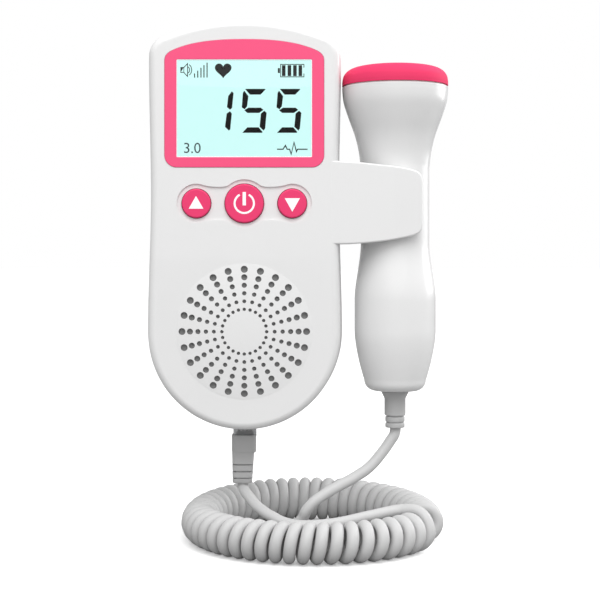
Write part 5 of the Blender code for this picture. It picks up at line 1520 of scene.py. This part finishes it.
def dressed(piece, finish, body, slot, *replaced):
    """Puts a piece at its height, gives it its finish and its body, and hides the nodes it stands for."""
    piece.location.z += MIDDLE_Z
    pick(piece)
    settle()
    clad(piece, finish)
    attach(piece, body)
    if replaced:
        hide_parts(*replaced)
    return piece


def sort_rays(tree, bounced, shown, place):
    """Shows one shader to the camera and gives the other to all other rays."""
    rays = tree.nodes.new("ShaderNodeLightPath")
    mix = tree.nodes.new("ShaderNodeMixShader")
    tree.links.new(rays.outputs["Is Camera Ray"], mix.inputs["Fac"])
    tree.links.new(bounced, mix.inputs[1])
    tree.links.new(shown, mix.inputs[2])
    tree.links.new(mix.outputs["Shader"], place)


def add_camera():
    place = (CAMERA_X, -size("camera_distance"), EYE_Z + MIDDLE_Z)
    bpy.ops.object.camera_add(location=place, rotation=(math.pi / 2, 0, 0))
    camera = bpy.context.object
    camera.name = "photo_camera"
    camera.data.lens = LENS
    camera.data.sensor_width = SENSOR
    camera.data.shift_x = SIDE_SHIFT
    camera.data.shift_y = HORIZON_SHIFT
    camera.data.clip_start = 0.01
    camera.data.clip_end = 100.0
    bpy.context.scene.camera = camera


def add_lights():
    """Two soft boxes, and a wide sun that leans from above."""
    for name, where, aim, spread in LAMPS:
        bpy.ops.object.light_add(type="AREA", location=where)
        lamp = bpy.context.object
        lamp.name = name
        lamp.data.shape = "RECTANGLE"
        lamp.data.size, lamp.data.size_y = spread
        lamp.data.energy = size("lamp_power")
        lamp.rotation_euler = (Vector(aim) - Vector(where)).to_track_quat("-Z", "Y").to_euler()
    bpy.ops.object.light_add(type="SUN", location=(0, 0, 1))
    sun = bpy.context.object
    sun.name = "soft_top"
    sun.data.energy = size("sun_strength")
    sun.data.angle = math.radians(SUN_SPREAD)
    sun.rotation_euler = [math.radians(turn) for turn in SUN_TURN]


def add_floor():
    """Pale paper that glows a little to the camera and is dull to all other rays."""
    bpy.ops.mesh.primitive_plane_add(size=2 * size("floor_half"), location=(0, 0, FLOOR_Z + MIDDLE_Z))
    floor = bpy.context.object
    floor.name = "floor"
    pick(floor)
    settle()
    finish = Finish("floor_paper", specular_ior_level=0.2)
    finish.put("Base Color", finish.mixed(finish.noise(6.0), FLOOR_LOW, FLOOR_HIGH))
    finish.put("Roughness", finish.noise(20.0) * 0.1 + 0.7)
    finish.put("Emission Color", WHITE)
    finish.put("Emission Strength", FLOOR_GLOW)
    dull = finish.node("ShaderNodeBsdfDiffuse", Color=FLOOR_BOUNCE)
    surface = finish.tree.nodes["Material Output"].inputs["Surface"]
    sort_rays(finish.tree, dull.socket, finish.shader.outputs["BSDF"], surface)
    floor.data.materials.append(finish.material)


def add_world():
    """A white backdrop to the camera, and a softer light to all other rays."""
    world = bpy.data.worlds.new("studio")
    bpy.context.scene.world = world
    world.use_nodes = True
    tree = world.node_tree
    tree.nodes.clear()
    skies = []
    for strength in (size("world_light"), 1.0):
        sky = tree.nodes.new("ShaderNodeBackground")
        sky.inputs["Color"].default_value = (*WHITE, 1.0)
        sky.inputs["Strength"].default_value = strength
        skies.append(sky.outputs["Background"])
    out = tree.nodes.new("ShaderNodeOutputWorld")
    sort_rays(tree, *skies, out.inputs["Surface"])


class DOPPLER_OT_stage(bpy.types.Operator):
    """Camera, lights and the pale floor"""

    bl_idname = "doppler.stage"
    bl_label = "Stage"

    def execute(self, context):
        deselect()
        add_camera()
        add_lights()
        add_floor()
        add_world()
        context.scene.view_settings.view_transform = "Standard"
        return {"FINISHED"}


class DOPPLER_OT_cords(bpy.types.Operator):
    """The lead with its curls, the lead to the probe, the plug and the boot"""

    bl_idname = "doppler.cords"
    bl_label = "Cords"

    def execute(self, context):
        plug = dressed(make_plug(), "plug_clear", "monitor", "plug_clear", "plug_body")
        wires = dressed(make_plug_wires(), "black_plastic", "monitor", "black_plastic")
        boot = dressed(make_boot(), "boot_grey", "monitor", "boot_grey", "plug_boot")
        piece, path = make_main_cord()
        piece = dressed(piece, "cord_grey", "monitor", "cord_grey", "monitor_lead", "curly_cord")
        path = lifted(path)
        path_length(path)
        lead, path = make_probe_lead()
        pick(lead)
        lead.location.z += MIDDLE_Z
        settle()
        clad(lead, "cord_grey")
        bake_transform(lead)
        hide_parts("probe_lead")
        path = lifted(path)
        path_length(path)
        return {"FINISHED"}


class DOPPLER_OT_case(bpy.types.Operator):
    """The two shells, the battery cover and the case screws"""

    bl_idname = "doppler.case"
    bl_label = "Case"

    def execute(self, context):
        dressed(make_front_shell(), "case_white", "monitor", "case_white", "front_shell")
        dressed(make_speaker_cloth(), "speaker_cloth", "monitor", "black_plastic")
        dressed(make_rear_shell(), "case_white", "monitor", "case_white", "rear_shell")
        dressed(make_cover(), "case_white", "battery_cover", "case_white", "battery_cover")
        for i, (x, z) in enumerate(CASE_SCREWS, 1):
            screw = make_case_screw(x, z, i)
            dressed(screw, "bright_steel", "monitor", "bright_steel", f"case_screw_{i}")
        return {"FINISHED"}


class DOPPLER_OT_screen(bpy.types.Operator):
    """Bezel, lens, lit display and what it shows"""

    bl_idname = "doppler.screen"
    bl_label = "Screen"

    def execute(self, context):
        dressed(make_bezel(), "bezel_pink", "monitor", "bezel_pink", "screen_bezel")
        dressed(make_window_rim(), "mark_paint", "monitor", "case_white")
        lens = pane("lens", "screen_lens", None, LENS_EDGE)
        dressed(lens, "lens_clear", "monitor", "lens_clear", "screen_lens")
        display = pane("lcd", "lcd_panel", LCD_Y, LCD_EDGE)
        dressed(display, "lcd_glass", "monitor", "lcd_glass", "lcd_panel")
        dressed(make_screen_ink(), "display_ink", "monitor", "black_plastic")
        dressed(make_screen_number(), "soft_ink", "monitor", "black_plastic")
        return {"FINISHED"}


class DOPPLER_OT_keys(bpy.types.Operator):
    """The three keys with their marks"""

    bl_idname = "doppler.keys"
    bl_label = "Keys"

    def execute(self, context):
        for (name, x, radius), mark in zip(key_seats(), make_key_marks()):
            dressed(make_key(f"{name}_fine", x, radius), "button_pink", name, "button_pink", name)
            # The marks get the printed white paint with its faint painted glow
            dressed(mark, "mark_paint", name, "case_white")
        return {"FINISHED"}


class DOPPLER_OT_probe(bpy.types.Operator):
    """The probe's handle, cap and strain relief"""

    bl_idname = "doppler.probe"
    bl_label = "Probe"

    def execute(self, context):
        for side, way in (("front", -1), ("rear", 1)):
            half = make_probe_half(f"handle_{side}", way)
            dressed(half, "probe_white", "probe", "case_white", f"probe_{side}_shell")
        dressed(make_cap(), "cap_pink", "probe", "cap_pink", "probe_cap")
        dressed(make_relief(), "boot_grey", "probe", "boot_grey", "probe_relief")
        return {"FINISHED"}


class DOPPLER_OT_inside(bpy.types.Operator):
    """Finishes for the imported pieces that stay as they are"""

    bl_idname = "doppler.inside"
    bl_label = "Inside"

    def execute(self, context):
        for finish, nodes in INSIDE.items():
            for node in nodes:
                clad(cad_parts[node], finish)
        return {"FINISHED"}


class DOPPLER_PT_panel(bpy.types.Panel):
    """Builds the groups one by one"""

    bl_idname = "DOPPLER_PT_panel"
    bl_label = "Fetal doppler monitor"
    bl_space_type = "VIEW_3D"
    bl_region_type = "UI"
    bl_category = "Doppler"

    def draw(self, context):
        for operator in OPERATORS:
            self.layout.operator(operator.bl_idname)
        for name in DopplerColours.__annotations__:
            self.layout.prop(context.scene.doppler_colours, name)
        for name in DopplerSizes.__annotations__:
            self.layout.prop(context.scene.doppler_sizes, name)


OPERATORS = (
    DOPPLER_OT_stage,
    DOPPLER_OT_cords,
    DOPPLER_OT_case,
    DOPPLER_OT_screen,
    DOPPLER_OT_keys,
    DOPPLER_OT_probe,
    DOPPLER_OT_inside,
)
CLASSES = (DopplerColours, DopplerSizes, *OPERATORS, DOPPLER_PT_panel)


def register():
    for item in CLASSES:
        bpy.utils.register_class(item)
    bpy.types.Scene.doppler_colours = PointerProperty(type=DopplerColours)
    bpy.types.Scene.doppler_sizes = PointerProperty(type=DopplerSizes)


def unregister():
    del bpy.types.Scene.doppler_sizes
    del bpy.types.Scene.doppler_colours
    for item in reversed(CLASSES):
        bpy.utils.unregister_class(item)


def main():
    register()
    for operator in OPERATORS:
        group, name = operator.bl_idname.split(".")
        getattr(getattr(bpy.ops, group), name)()


if __name__ == "__main__":
    main()
